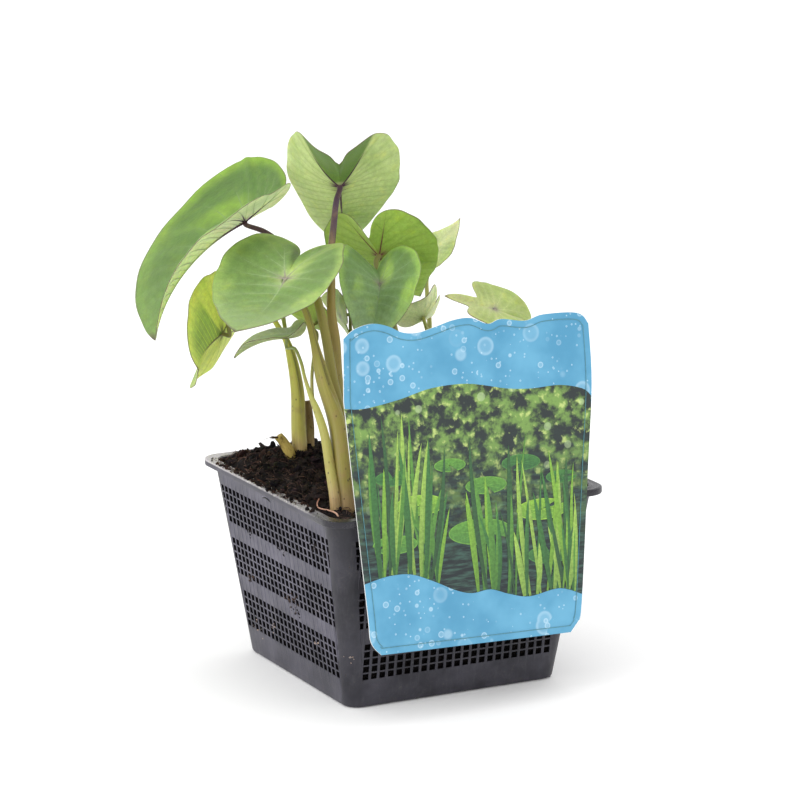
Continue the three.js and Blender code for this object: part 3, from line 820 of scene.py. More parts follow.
def add_floor(shape):
    """Holed floor, a low cross of stiffening bars under it, and a moulding nub at one corner."""
    inside = wall_half(0) - WALL * 0.6
    outer = [point[:2] for point in rounded_square(inside, corner_at(0) - 0.7, 0, 6)]
    reach = FLOOR_HOLE / 2
    holes = [
        box_outline(column * FLOOR_PITCH, row * FLOOR_PITCH, reach, reach)
        for row in range(-2, 3) for column in range(-2, 3) if row or column
    ]
    add_plate(shape, outer, holes, 0.45, FLOOR)
    for middle in (-FLOOR_PITCH / 2, FLOOR_PITCH / 2):
        add_plate(shape, box_outline(middle, 0, 0.6, 36), [], 0.05, 0.46)
        add_plate(shape, box_outline(0, middle, 36, 0.6), [], 0.05, 0.46)
    nub = [
        (39.2 + 1.1 * math.cos(i * math.pi / 6), -39.2 + 1.1 * math.sin(i * math.pi / 6))
        for i in range(12)
    ]
    add_plate(shape, nub, [], 0, 1.9)


def add_nick(shape):
    """Small curved nick in the left wall just under the rim, with its raised upper lip."""
    # the nick's hollow is painted shade, near black; its upper lip is lighter
    for low, radius, shade in ((0, 0.4, 0.03), (0.6, 0.26, 3.2)):
        line = []
        for step in range(11):
            off = step / 5 - 1
            z = NICK_AT[1] + low - 0.9 * off ** 2
            slim = radius * (1 - 0.75 * abs(off) ** 2)
            line.append((-wall_half(z) + 0.03, NICK_AT[0] + 3.4 * off, z, slim))
        add_tube(shape, np.array(line), 6, (shade, shade, shade, 1))


def plastic_finish(settings):
    """Charcoal plastic with mould grain, dust, dried lime and painted reflection and shade on the
    rim.
    """
    finish = Finish("moulded_plastic", specular=0.42)
    at = finish.place()
    along, level = finish.axis(at, "Y"), finish.axis(at, "Z")
    cloud = finish.noise(14, at, 5, 0.6)
    patch = finish.noise(7, at, 3, 0.6)
    base = finish.mix(finish.ramp(cloud, 0.3, 0.75), (*settings.colour, 1), (*settings.worn, 1))
    streak = finish.noise(1.6, finish.place((1, 1, 0.12)), 3, 0.6)
    base = finish.mix(finish.ramp(streak, 0.5, 0.85, 0, 0.22), base, srgb(122, 119, 124))
    fine = finish.ramp(finish.noise(0.9, at, 6, 0.7), 0.5, 0.72)
    dust_and_painted_light = finish.times(finish.times(fine, finish.ramp(patch, 0.38, 0.7)), 0.55)
    base = finish.mix(dust_and_painted_light, base, srgb(112, 106, 100))
    # left side of the rim: painted reflection, more so towards the back; limy in patches
    west = finish.ramp(finish.axis(at, "X"), -46, -38, 1, 0)
    on_rim = finish.times(finish.ramp(level, 71.0, 71.6), west)
    on_rim = finish.times(on_rim, finish.ramp(along, -50, -38))
    lime = finish.times(finish.ramp(finish.noise(1.1, at, 6, 0.85), 0.46, 0.56), on_rim)
    lime = finish.times(lime, finish.ramp(finish.noise(9, at, 3, 0.6), 0.36, 0.56, 0.15, 1))
    brighter = finish.times(on_rim, finish.ramp(along, -20, 48, 0.35, 0.95))
    base = finish.mix(brighter, base, srgb(190, 185, 189))
    base = finish.mix(finish.times(lime, 0.85), base, srgb(205, 202, 195))
    # the rim's near corner has painted shade, dark, and is glossier
    near = finish.times(finish.ramp(along, -44, -30, 1, 0), finish.ramp(level, 69.2, 69.8))
    base = finish.mix(finish.times(near, 0.75), base, srgb(24, 23, 28))
    specks = finish.ramp(finish.cells(2.6, at), 0.05, 0.12, 1, 0)
    specks = finish.times(specks, finish.ramp(patch, 0.55, 0.65))
    base = finish.mix(specks, base, srgb(58, 40, 28))
    finish.set("Base Color", finish.multiply(base, finish.tint()))
    rough = finish.plus(finish.times(dust_and_painted_light, 0.5), finish.ramp(near, 0, 1, 0.38, 0.2))
    rough = finish.plus(rough, finish.times(cloud, 0.12))
    finish.set("Roughness", finish.plus(rough, finish.times(lime, 0.35), clamp=True))
    finish.bump(finish.plus(finish.noise(0.35, at, 3, 0.6), finish.times(lime, 1.5)), 0.05)
    return finish.material


# Soil


def soil_height(x, y):
    """The even heap."""
    z = SOIL_LEVEL + 0.35 * math.sin(x * 0.42 + 1) * math.cos(y * 0.37)
    for cx, cy, height, spread_x, spread_y in MOUNDS:
        far = ((x - cx) / spread_x) ** 2 + ((y - cy) / spread_y) ** 2
        z += height * math.exp(-far / 2)
    return z


def soil_surface(x, y):
    """The rough top of the soil: the even heap with lumps, hollows and grains."""
    spot = Vector((x, y, 0))
    lumps = noise.fractal(spot * 0.16, 0.8, 2.0, 4) * 1.25
    grains = noise.fractal(spot * 0.75, 0.9, 2.0, 3) * 0.6
    pits = max(noise.noise(spot * 0.42 + Vector((9, 4, 2))) - 0.15, 0) * 1.6
    return soil_height(x, y) + lumps + grains - pits


def soil_finish(settings):
    """Damp peat: near black, with brown fibre and a dull crumb."""
    finish = Finish("peat", 0.95, 0.16)
    at = finish.place()
    cloud = finish.noise(5, at, 6, 0.65)
    base = finish.mix(finish.ramp(cloud, 0.35, 0.7), (*settings.dark, 1), (*settings.brown, 1))
    thread = finish.noise(1.1, finish.place((0.35, 1, 1)), 5, 0.7, 1.5)
    base = finish.mix(finish.ramp(thread, 0.56, 0.72, 0, 0.75), base, (*settings.fibre, 1))
    finish.set("Base Color", finish.multiply(base, finish.tint()))
    finish.bump(finish.plus(finish.noise(0.5, at, 6, 0.75), finish.times(thread, 0.6)), 0.5)
    return finish.material


def add_soil_body(shape):
    """Heaped top and the sides that show through the openings, down to the floor."""
    def outline(z, level):
        inset = WALL + 0.3
        return np.array(rounded_square(wall_half(z) - inset, corner_at(z) - inset, level, 10, 70))

    sides = []
    for k in range(1, 27):
        z = SOIL_TOP - (SOIL_TOP - FLOOR - 0.3) * k / 26
        ring = outline(z, z)
        for point in ring:
            lump = 0.5 * noise.fractal(Vector(point) * 0.3, 0.9, 2.0, 3) - 0.35
            point[:2] *= 1 + min(lump, 0.05) / max(abs(point[0]), abs(point[1]))
        sides.insert(0, ring)
    rings = list(sides)
    edge = outline(SOIL_TOP, 0)
    for k in range(79):
        ring = edge * (1 - 0.992 * (k / 78) ** 0.92)
        ring[:, 2] = [soil_surface(x, y) for x, y, _ in ring]
        rings.append(ring)
    columns = len(edge)
    last = (len(rings) - 1) * columns
    faces = grid_faces(len(rings), columns, closed=True)
    faces += [tuple(range(last, last + columns)), tuple(range(columns))[::-1]]
    tints = np.ones((len(rings) * columns, 4))
    # painted shade: the soil's sides, behind the walls, are darker
    tints[:len(sides) * columns, :3] = 0.4
    shape.add(np.concatenate(rings), faces, 0, tints)


def crumb_form(rng, fine):
    """Points and faces of one rough crumb about a unit across."""
    work = bmesh.new()
    bmesh.ops.create_icosphere(work, subdivisions=2 if fine else 1, radius=0.5)
    shift = Vector((rng.uniform(-40, 40), rng.uniform(-40, 40), rng.uniform(-40, 40)))
    points = []
    for vert in work.verts:
        bulge = 1 + 0.9 * noise.noise(vert.co * 2.3 + shift)
        points.append(tuple(vert.co * bulge))
    faces = [tuple(vert.index for vert in face.verts) for face in work.faces]
    work.free()
    return np.array(points), faces


def tumbled(rng, points):
    """Points turned any way round the origin."""
    axis = Vector([rng.gauss(0, 1) for _ in range(3)])
    return points @ np.array(Matrix.Rotation(rng.uniform(0, 2 * math.pi), 3, axis)).T


def draws(rng, *ranges):
    """One even draw from each range."""
    return np.array([rng.uniform(low, high) for low, high in ranges])


def add_crumbs(shape, rng, settings):
    """Crumbs strewn over the heap, more of them on the mound, and some on the left rim."""
    forms = [crumb_form(rng, fine) for fine in (True,) * 8 + (False,) * 10]
    browns = [
        (0.75, 0.7, 0.7), (1.1, 1.0, 0.95), (1.7, 1.45, 1.2), (2.4, 1.9, 1.5), (0.5, 0.5, 0.55),
    ]
    inner = wall_half(70) - WALL - 0.6

    def form(fine):
        return forms[rng.randrange(8) if fine else 8 + rng.randrange(10)]

    for number in range(settings.crumbs):
        x, y = rng.uniform(-inner, inner), rng.uniform(-inner, inner)
        if rng.random() < 0.45:
            x, y = rng.gauss(-27, 13), rng.gauss(20, 22)
        if max(abs(x), abs(y)) > inner:
            continue
        size = 0.35 + 2.6 * rng.random() ** 3.8
        points, faces = form(size > 1.25)
        stretch = draws(rng, (0.8, 1.6), (0.7, 1.1), (0.6, 1))
        points = tumbled(rng, points * stretch * size)
        points = points + np.array([x, y, soil_surface(x, y) + size * rng.uniform(-0.05, 0.3)])
        tone = browns[rng.randrange(len(browns))]
        shape.add(points, faces, 0, (*[level * rng.uniform(0.75, 1.25) for level in tone], 1))
    for number in range(settings.spilt):
        along = rng.gauss(12, 14) if number % 5 else rng.uniform(-44, 40)
        out = rng.uniform(0.2, 3.6)
        if abs(along) > 50:
            continue
        size = 0.3 + 1.3 * rng.random() ** 3
        x, y = (-51.1 - out, along) if number % 12 else (rng.uniform(-50, 20), 51.1 + out)
        points, faces = form(size > 0.7)
        points = tumbled(rng, points * size) + np.array([x, y, BASKET_HEIGHT + size * 0.2])
        points[:, :2] = np.clip(points[:, :2], -RIM_HALF, RIM_HALF)
        shape.add(points, faces, 0, (*browns[rng.randrange(len(browns))], 1))


def add_clods(shape, rng):
    """Larger broken clods of peat on the mound and round the stems."""
    inner = wall_half(70) - WALL - 2.5
    for number in range(90):
        x, y = rng.gauss(-34, 8), rng.gauss(24, 15)
        if number % 3 == 0:
            x, y = rng.gauss(-36, 6), rng.gauss(-14, 18)
        if max(abs(x), abs(y)) > inner:
            continue
        size = rng.uniform(1.6, 3.6)
        points, faces = crumb_form(rng, True)
        points = tumbled(rng, points * draws(rng, (0.9, 1.5), (0.7, 1.1), (0.5, 0.8)) * size)
        shift = Vector((number, 0, 0))
        rough = [noise.fractal(Vector(point) * 0.9 + shift, 0.8, 2.0, 3) for point in points]
        points = points * (1 + 0.32 * np.array(rough))[:, None]
        points = points + np.array([x, y, soil_surface(x, y) + size * rng.uniform(-0.2, 0.05)])
        tone = rng.uniform(0.7, 1.9)
        shape.add(points, faces, 0, (tone, tone * 0.93, tone * 0.88, 1))


def add_wall_dirt(shape, rng):
    """Grains and smears of peat stuck on the left wall and in its openings."""
    forms = [crumb_form(rng, False) for _ in range(6)]
    for middle, level, spread, count, tone in WALL_DIRT:
        for _ in range(count):
            y, z = rng.gauss(middle, spread), within(rng.gauss(level, spread * 0.6), 2, SOIL_TOP)
            corner = corner_at(z)
            side = wall_half(z) - corner
            # past the flat of the wall they follow its round corner
            turn = within((abs(y) - side) / corner, 0, 1.2)
            x = -side - corner * math.cos(turn)
            y = math.copysign(min(abs(y), side) + corner * math.sin(turn), y)
            points, faces = forms[rng.randrange(6)]
            size = rng.uniform(0.35, 0.8 if tone is PALE else 1.1)
            stretch = np.array([0.5, *draws(rng, (0.8, 1.7), (0.7, 1.2))])
            points = tumbled(rng, points) * stretch * size + np.array([x + 0.05, y, z])
            shade = rng.uniform(0.7, 1.3)
            shape.add(points, faces, 0, (*[level * shade for level in tone], 1))


def add_spill(shape, rng):
    """Matted fibres that hang over the left rim."""
    for number in range(150):
        y = within(rng.gauss(12, 17), -46, 48)
        x = rng.uniform(-54.6, -50.5)
        heading = rng.uniform(0, 2 * math.pi)
        length = rng.uniform(1.5, 5)
        line = []
        for step in range(6):
            far = length * (step / 5 - 0.5)
            px = within(x + far * math.cos(heading), -RIM_HALF, -47)
            py = within(y + far * math.sin(heading + 0.15 * step), -52, 52)
            over = max(px + 51.5, 0)
            z = BASKET_HEIGHT + 0.12 - 0.35 * over + 0.2 * math.sin(step + number)
            line.append((px, py, max(z, BASKET_HEIGHT - 1.2), rng.uniform(0.07, 0.14)))
        tone = np.array([5.4, 3.5, 2.7]) * rng.uniform(0.3, 1.3)
        add_tube(shape, np.array(line), 4, (*tone, 1))


def add_fibres(shape, rng, settings):
    """Short peat fibres lying every way on the soil, lighter ones near the left rim."""
    inner = wall_half(70) - WALL - 0.8
    for number in range(settings.fibres):
        x, y = rng.uniform(-inner, inner), rng.uniform(-inner, inner)
        if number % 2:
            x, y = rng.gauss(-34, 10), rng.gauss(14, 22)
        if max(abs(x), abs(y)) > inner:
            continue
        heading, length, radius, bend, lie = draws(
            rng, (0, 2 * math.pi), (1.5, 6), (0.06, 0.14), (-0.5, 0.5), (0.2, 1.1),
        )
        line = []
        for step in range(6):
            far = length * (step / 5 - 0.5)
            turn = heading + bend * step / 5
            px = within(x + far * math.cos(turn), -inner, inner)
            py = within(y + far * math.sin(turn), -inner, inner)
            rise = soil_surface(px, py) + radius + 0.25 * math.sin(step * 1.3 + number)
            line.append((px, py, rise + lie, radius * (1 - 0.5 * abs(step / 5 - 0.4))))
        light = smooth(-x, 24, 46) * 0.7 + 0.3
        tone = np.array([8.8, 7.4, 6.0]) * light * rng.uniform(0.1, 1.25) ** 1.5
        add_tube(shape, np.array(line), 4, (*tone, 1))


# Leaves


def outline_radius(degrees):
    """Radius of the flat outline at angles of 0 to 180 degrees from the tip."""
    angles, radii = np.array(OUTLINE, float).T
    slopes = np.empty(len(angles))
    slopes[1:-1] = (radii[2:] - radii[:-2]) / (angles[2:] - angles[:-2])
    slopes[0] = (radii[1] - radii[0]) / (angles[1] - angles[0])
    slopes[-1] = (radii[-1] - radii[-2]) / (angles[-1] - angles[-2])
    k = np.clip(np.searchsorted(angles, degrees, side="left"), 1, len(angles) - 1)
    step = angles[k] - angles[k - 1]
    start, end = slopes[k - 1] * step, slopes[k] * step
    return hermite(radii[k - 1], radii[k], start, end, (degrees - angles[k - 1]) / step)


def edge_radius(leaf, degrees):
    """Radius of this leaf's own outline at signed angles, with its dents."""
    radius = outline_radius(np.abs(degrees))
    for middle, spread, depth in leaf["dents"]:
        radius = radius * (1 - depth * bell(degrees - middle, spread))
    off = np.abs(degrees)
    radius = radius * (1 + leaf["swell"] * bell(off - 180, 11))
    angle = np.radians(degrees)
    a, b, c = leaf["ripple"]
    ripple = np.sin(7 * angle + a) + 0.7 * np.sin(12 * angle + b) + 0.5 * np.sin(19 * angle + c)
    return radius * (1 + RIPPLE * ripple * smooth(off, 3, 14) * (1 - smooth(off, 160, 174)))


def flat_place(leaf, degrees, share):
    """Place on the flat blade at signed angles from the tip and shares of the radius."""
    radius = edge_radius(leaf, degrees) * share
    along = radius * np.cos(np.radians(degrees))
    across = radius * np.sin(np.radians(degrees))
    along = np.where(along < 0, along * leaf["back"], along)
    return along, across * np.where(across >= 0, *leaf["wide"])


def angle_and_share(leaf, u, v):
    """The signed angle and share of the radius of places on the flat blade."""
    along = np.where(u < 0, u / leaf["back"], u)
    across = v / np.where(v >= 0, *leaf["wide"])
    degrees = np.degrees(np.arctan2(across, along))
    return degrees, np.hypot(along, across) / edge_radius(leaf, degrees)


def leaf_turn(leaf):
    """How the blade is turned from lying flat with its tip along x."""
    return (
        Matrix.Rotation(math.radians(leaf["heading"]), 3, "Z")
        @ Matrix.Rotation(-math.radians(leaf["pitch"]), 3, "Y")
        @ Matrix.Rotation(math.radians(leaf["roll"]), 3, "X")
    )


def arc_end(start, turn, length):
    """End of an arc that starts at an angle and turns evenly along its length."""
    k = np.where(np.abs(turn) < 1e-6, 1e-6, turn)
    across = (np.sin(start + k * length) - np.sin(start)) / k
    return across, (np.cos(start) - np.cos(start + k * length)) / k


def blade_points(leaf, u, v):
    """Points of the bent blade in its own frame: x to the tip, y to its left, z up."""
    left = v >= 0
    fold = np.where(left, *leaf["fold"]) + smooth(-u, 0, 0.45) * np.where(left, *leaf["lobes"])
    curl = np.radians(np.where(left, *leaf["curl"])) / 0.5
    across, up = arc_end(np.radians(fold), curl, np.abs(v))
    across = np.where(left, across, -across)
    twist = np.radians(leaf["twist"]) * u
    y = across * np.cos(twist) - up * np.sin(twist)
    z = across * np.sin(twist) + up * np.cos(twist)
    turn = np.where(u >= 0, -math.radians(leaf["droop"]), math.radians(leaf["lift"]) / 0.5)
    along, rise = arc_end(0, turn, np.abs(u))
    angle = turn * np.abs(u)
    x = np.where(u >= 0, 1, -1) * (along - np.sin(angle) * z)
    return np.stack([x, y, rise + np.cos(angle) * z], -1) * leaf["length"]


def blade_normals(leaf, u, v):
    gap = 0.012
    ahead = blade_points(leaf, u + gap, v) - blade_points(leaf, u - gap, v)
    across = blade_points(leaf, u, v + gap) - blade_points(leaf, u, v - gap)
    normal = np.cross(ahead, across)
    return normal / np.linalg.norm(normal, axis=-1)[..., None]


def bend_between(start, end, sag, steps):
    """Flat bow from start to end, its middle drawn back towards the notch."""
    start, end = np.array(start, float), np.array(end, float)
    middle = (start + end) / 2 + np.array([-sag, 0])
    t = np.linspace(0, 1, steps)[:, None]
    return start * (1 - t) ** 2 + 2 * middle * t * (1 - t) + end * t**2


def edge_place(leaf, degrees, share):
    """Where a vein ends: a share of the way to the edge."""
    u, v = flat_place(leaf, np.array(float(degrees)), share)
    return float(u), float(v)


def vein_paths(leaf):
    """The blade's veins on the flat blade: (points, half width at its start and end in mm)."""
    scale = min(leaf["length"] / 45, 1.25)
    rib_end = leaf["rib_end"]
    bow = -0.03 if rib_end == PLAIN_LEAF["rib_end"] else -0.09
    midrib = bend_between((0, 0), edge_place(leaf, 0, 0.985), 0, 40)
    paths = [(midrib, 0.5 * scale, 0.1 * scale)]

    def add_side(start, degrees, sag, steps, half, thin):
        path = bend_between(start, edge_place(leaf, degrees, 0.965), sag, steps)
        paths.append((path, half * scale, thin))

    for side in (1, -1):
        for start, degrees in SIDE_VEINS:
            add_side((start, 0), side * degrees, 0.05, 18, 0.24, 0.07)
        for degrees in ROUND_VEINS:
            add_side((0, 0), side * degrees, 0.035, 18, 0.25, 0.07)
        lobe = bend_between((0, 0), edge_place(leaf, side * rib_end, MARGIN_SHARE), bow, 24)
        paths.append((lobe, 0.42 * scale, 0.09))
        for share, degrees in LOBE_VEINS:
            if degrees <= rib_end + 15:
                start = lobe[int(share * (len(lobe) - 1))]
                add_side(start, side * degrees, 0.01, 12, 0.18, 0.06)
    return paths


def fine_vein_paths(leaf):
    """Thinner veins halfway between the side veins."""
    paths = []
    for side in (1, -1):
        for start, degrees in FINE_VEINS:
            end = edge_place(leaf, side * degrees, MARGIN_SHARE)
            paths.append((bend_between((start, 0), end, 0.05, 14), 0.1, 0.04))
        for degrees in FINE_ROUND_VEINS:
            end = edge_place(leaf, side * degrees, 0.9)
            paths.append((bend_between((0, 0), end, 0.03, 14), 0.1, 0.04))
    return paths


def far_from(paths, u, v, length):
    """Distance in millimetres on the flat blade from each place to its nearest vein."""
    spots = np.stack([u.ravel(), v.ravel()], -1)
    nearest = np.full(len(spots), 9.0)
    for path, _, _ in paths:
        for a, b in zip(path[:-1], path[1:]):
            along = b - a
            t = np.clip(((spots - a) @ along) / max(along @ along, 1e-9), 0, 1)
            gap = np.linalg.norm(spots - a - t[:, None] * along, axis=1)
            nearest = np.minimum(nearest, gap)
    return nearest.reshape(u.shape) * length


class Blade:
    """One leaf blade: its surface with soft waves, its veins and its colours."""

    def __init__(self, name, leaf, tones, settings):
        self.name, self.settings = name, settings
        self.shades = [np.array(srgb(*tone)) for tone in tones]
        rng = random.Random("leaf " + name)
        ripple = [rng.uniform(0, 2 * math.pi) for _ in range(3)]
        self.leaf = dict(PLAIN_LEAF, **leaf, ripple=ripple)
        self.phases = [rng.uniform(0, 2 * math.pi) for _ in range(6)]
        self.paths = vein_paths(self.leaf)
        lobe_rib = self.paths[1 + len(SIDE_VEINS) + len(ROUND_VEINS)][0]
        self.rib_degrees, self.rib_share = angle_and_share(self.leaf, *lobe_rib[1:].T)
        self.turn = np.array(leaf_turn(leaf))

    def past_rib(self, degrees, share):
        """How many degrees lie between a place and its lobe's rib, more towards the notch."""
        return np.abs(degrees) - np.interp(share, self.rib_share, self.rib_degrees)

    def rise(self, u, v, gap):
        """How far the surface stands off the plain bent blade, in millimetres."""
        degrees, share = angle_and_share(self.leaf, u, v)
        angle = np.radians(degrees)
        p = self.phases
        wave = 0.5 * np.sin(3 * angle + p[0]) + 0.35 * np.sin(5 * angle + p[1])
        wave = wave + 0.25 * np.sin(8 * angle + p[2] + share * 2)
        wave = wave * smooth(share, 0.25, 1.05) * self.settings.wave / MM
        pillow = (1 - bell(gap, 1.9)) * smooth(1.02 - share, 0, 0.2)
        scale = min(self.leaf["length"] / 40, 1.2)
        inner = smooth(self.past_rib(degrees, share), -4, 30) * smooth(share, 0.15, 1)
        curl = self.leaf["inner_curl"] * inner
        return scale * (wave + pillow * self.settings.pillow / MM) + curl

    def world(self, u, v, gap, off):
        """Points in the object's frame, a distance off the blade's middle surface."""
        normal = blade_normals(self.leaf, u, v)
        points = blade_points(self.leaf, u, v)
        points = points + normal * (self.rise(u, v, gap) + off)[..., None]
        return points @ self.turn.T + np.array(self.leaf["at"])

    def face_tints(self, u, v, gap, upper):
        """Colours of one face, from the place, its gap to the nearest vein and the leaf's own."""
        leaf, p = self.leaf, self.phases
        degrees, share = angle_and_share(leaf, u, v)
        body, warm, under, rib = self.shades
        cloud = np.sin(u * 7 + p[3]) * np.cos(v * 9 + p[4]) + 0.6 * np.sin(v * 15 + u * 6 + p[5])
        far = np.hypot(u, v) * leaf["length"]
        if upper:
            margin = smooth(share, 0.8, 1)
            tint = blend(body, warm, np.maximum(smooth(cloud, 0.1, 1.5), margin * 0.9))
            # painted sheen: the upper face paler towards the tip
            pale = body * [1.6, 1.34, 2.1, 1]
            tint = blend(tint, pale, smooth(u, 0.15, 0.75) * leaf["painted_tip_sheen"])
            tint = blend(tint, tint * 0.8, smooth(-cloud, 0.2, 1.4) * (1 - margin) * 0.6)
            # painted shade between the veins, in patches, where the blade bulges
            painted_shade_between_veins = 0.5 + 0.5 * np.sin(u * 13 + p[2]) * np.cos(v * 11 + p[1])
            painted_shade_between_veins = smooth(gap, 1, 3) * (1 - margin) * 0.6 * painted_shade_between_veins
            tint = blend(tint, tint * [0.84, 0.88, 0.84, 1], painted_shade_between_veins)
            near = np.exp(-far / 13)
            halo = bell(gap, 0.6 + 0.9 * near)
            tint = blend(tint, tint * [1.35, 1.25, 1.7, 1], halo * (0.18 + 0.62 * near))
            tint = blend(tint, tint * [1.35, 1.25, 1.6, 1], bell(far, 7) * 0.6)
            tint = blend(tint, srgb(138, 134, 118), bell(far, 2.2) * 0.7)
            # painted shade on the left lobe's inner edge, by the notch
            if leaf["notch_shade"]:
                notch = smooth(-degrees, 162, 169) * smooth(share, 0.3, 0.6)
                tint = blend(tint, tint * leaf["notch_shade"], notch)
        else:
            tint = blend(under, under * [0.84, 0.88, 0.8, 1], smooth(cloud, 0, 1.5))
            # painted light: the underside lighter away from the join, for light shining through
            # it
            if leaf["painted_underside_glow"]:
                tint = blend(tint, srgb(*leaf["painted_underside_glow"]), smooth(u, 0.05, 0.3))
            tint = blend(tint, tint * [0.8, 0.86, 0.7, 1], bell(gap, 0.7) * 0.6)
            tint = blend(tint, rib, bell(far, 2.6) * 0.6)
            # painted shade on the left half near the tip, in from its edge, where the fold shades
            # it
            if leaf["painted_fold_shade"]:
                fold = smooth(64 - degrees, 0, 5) * (v > 0) * (1 - smooth(share, 0.55, 0.95))
                tint = blend(tint, tint * [0.55, 0.64, 0.72, 1], fold)
            if leaf["shaded_lobes"]:
                inner = smooth(self.past_rib(degrees, share), -1, 2)
                tint = blend(tint, body, inner * smooth(far, 1.5, 3))
        tip = smooth(share, 0.95, 0.99) * (1 - smooth(np.abs(degrees), 1, 4))
        tint = blend(tint, srgb(86, 70, 64), tip)
        edge = smooth(share, 0.975, 1) * (0.45 + 0.3 * np.sin(3 * np.radians(degrees) + p[1]))
        return blend(tint, srgb(96, 78, 78), edge)

    def add_faces(self, shape):
        """Both faces and the thin rounded edge between them."""
        keys = [row[0] for row in OUTLINE]
        half = [a + (b - a) * k / 5 for a, b in zip(keys[:-1], keys[1:]) for k in range(5)]
        angles = np.array([-180.0, *[-a for a in half[:0:-1]], *half])
        shares = np.linspace(0, 1, 25 if self.leaf["length"] < 25 else 35)[1:] ** 0.9
        degrees, share = np.meshgrid(angles, shares)
        u, v = flat_place(self.leaf, degrees, share)
        gap = far_from(self.paths, u, v, self.leaf["length"])
        thick = self.settings.thickness / MM / 2
        slim = thick * (1 - 0.45 * smooth(share, 0.97, 1))
        rows, columns = u.shape
        centre = rows * columns
        faces = grid_faces(rows, columns, closed=True)
        faces += [(k, (k + 1) % columns, centre) for k in range(columns)]
        middle = np.zeros(1)
        for finish, way in ((0, 1), (1, -1)):
            points = [
                self.world(u, v, gap, way * slim).reshape(-1, 3),
                self.world(middle, middle, middle, np.full(1, way * thick)),
            ]
            tints = [
                self.face_tints(u, v, gap, way > 0).reshape(-1, 4),
                self.face_tints(middle, middle, middle, way > 0),
            ]
            flat = np.concatenate([np.stack([u, v], -1).reshape(-1, 2), [[0, 0]]])
            turned = [face[::-1] for face in faces] if way > 0 else faces
            shape.add(np.concatenate(points), turned, finish, np.concatenate(tints), flat)
        u, v, gap, slim = u[-1], v[-1], gap[-1], slim[-1]
        strips = [
            self.world(u * out, v * out, gap, slim * off)
            for out, off in ((1, 1), (1.0025, 0.4), (1.0025, -0.4), (1, -1))
        ]
        dark = 0.5 + 0.5 * np.sin(np.radians(angles) * 4)
        tint = blend(srgb(110, 104, 84), srgb(92, 72, 76), dark)
        shape.add(
            np.concatenate(strips), grid_faces(4, columns, closed=True), 2,
            np.tile(tint, (4, 1)), np.tile(np.stack([u, v], -1), (4, 1)),
        )

    def add_vein(self, shape, path, start, end, way):
        """A low rib along a path on one face."""
        steps = len(path)
        side = sideways(path)
        half = (start + (end - start) * np.linspace(0, 1, steps)) * (0.72 if way > 0 else 1)
        tall = half * (0.12 if way > 0 else 0.8)
        thick = self.settings.thickness / MM / 2
        near = np.hypot(path[:, 0], path[:, 1])
        body, _, under, rib = self.shades
        if way > 0:
            pale, paler = body * [1.35, 1.22, 1.7, 1], body * [1.75, 1.5, 2.4, 1]
            tint = blend(paler, pale, smooth(near, 0.1, 0.6))
            tint = blend(srgb(150, 142, 128), tint, smooth(near, 0.02, 0.16))
        else:
            pale = under * [0.8, 0.88, 0.72, 1]
            reach = self.settings.rib_reach if start > 0.3 else 0.12
            if self.leaf["pale_rib"]:
                pale, reach = srgb(*self.leaf["pale_rib"]), min(reach, 0.3)
            tint = blend(rib, pale, smooth(near, reach * 0.4, reach))
        rows = []
        for across, up in ((-1, -0.25), (-0.62, 0.62), (0, 1), (0.62, 0.62), (1, -0.25)):
            spot = path + side * (across * half / self.leaf["length"])[:, None]
            off = way * (thick + tall * up)
            rows.append(self.world(spot[:, 0], spot[:, 1], np.abs(across) * half, off))
        faces = grid_faces(steps, 5)
        if way > 0:
            faces = [face[::-1] for face in faces]
        points, tint, flat = np.stack(rows, 1), np.repeat(tint, 5, 0), np.repeat(path, 5, 0)
        shape.add(points, faces, 3, tint, flat)

    def build(self, materials, slot):
        shape = Shape()
        self.add_faces(shape)
        for way in (1, -1):
            for path, start, end in self.paths + fine_vein_paths(self.leaf):
                self.add_vein(shape, path, start, end, way)
        return shape.piece(f"leaf_{self.name}", slot, materials, [f"blade_{self.name}"])


# Colours of each blade as seen: upper face, its paler patches, underside, ribs beneath.
# The underside tones are paler in their own right and lightened further as painted light,
# for light shining through the blades.

PLAIN_RIB = (130, 134, 84)
# brown ribs: their own colour near the join, darkened further as painted shade where the ribs
# block light shining through
BROWN_RIB = (116, 78, 62)
PURPLE_RIB = (70, 44, 56)
LEAF_TONES = {
    "upper_left": [(90, 121, 54), (128, 160, 54), (216, 222, 178), PURPLE_RIB],
    "middle_left": [(114, 142, 78), (152, 176, 96), (180, 194, 136), PLAIN_RIB],
    "top": [(96, 124, 56), (118, 144, 66), (184, 195, 134), PURPLE_RIB],
    "back_right": [(118, 146, 66), (134, 162, 74), (158, 182, 86), BROWN_RIB],
    "front_right": [(112, 142, 82), (150, 182, 88), (170, 188, 130), PURPLE_RIB],
    "low_left": [(136, 160, 58), (146, 168, 62), (232, 241, 124), PLAIN_RIB],
    "low_right": [(150, 167, 90), (162, 177, 98), (190, 198, 130), PLAIN_RIB],
    "far_right": [(164, 182, 106), (178, 194, 116), (228, 232, 176), PLAIN_RIB],
    "folded_right": [(196, 212, 150), (208, 220, 160), (230, 238, 192), PLAIN_RIB],
    "small_left": [(136, 156, 98), (158, 176, 112), (190, 200, 152), PLAIN_RIB],
    "small_middle": [(140, 166, 72), (160, 182, 82), (166, 186, 92), PLAIN_RIB],
    "small_back": [(140, 166, 72), (160, 180, 80), (166, 186, 92), PLAIN_RIB],
}
LEAF_SLOTS = {
    "leaf_upper": ["upper_left", "middle_left", "front_right", "small_left"],
    "leaf_bright": ["back_right", "low_left", "small_middle", "small_back"],
    "leaf_under": ["top", "far_right", "folded_right", "low_right"],
}


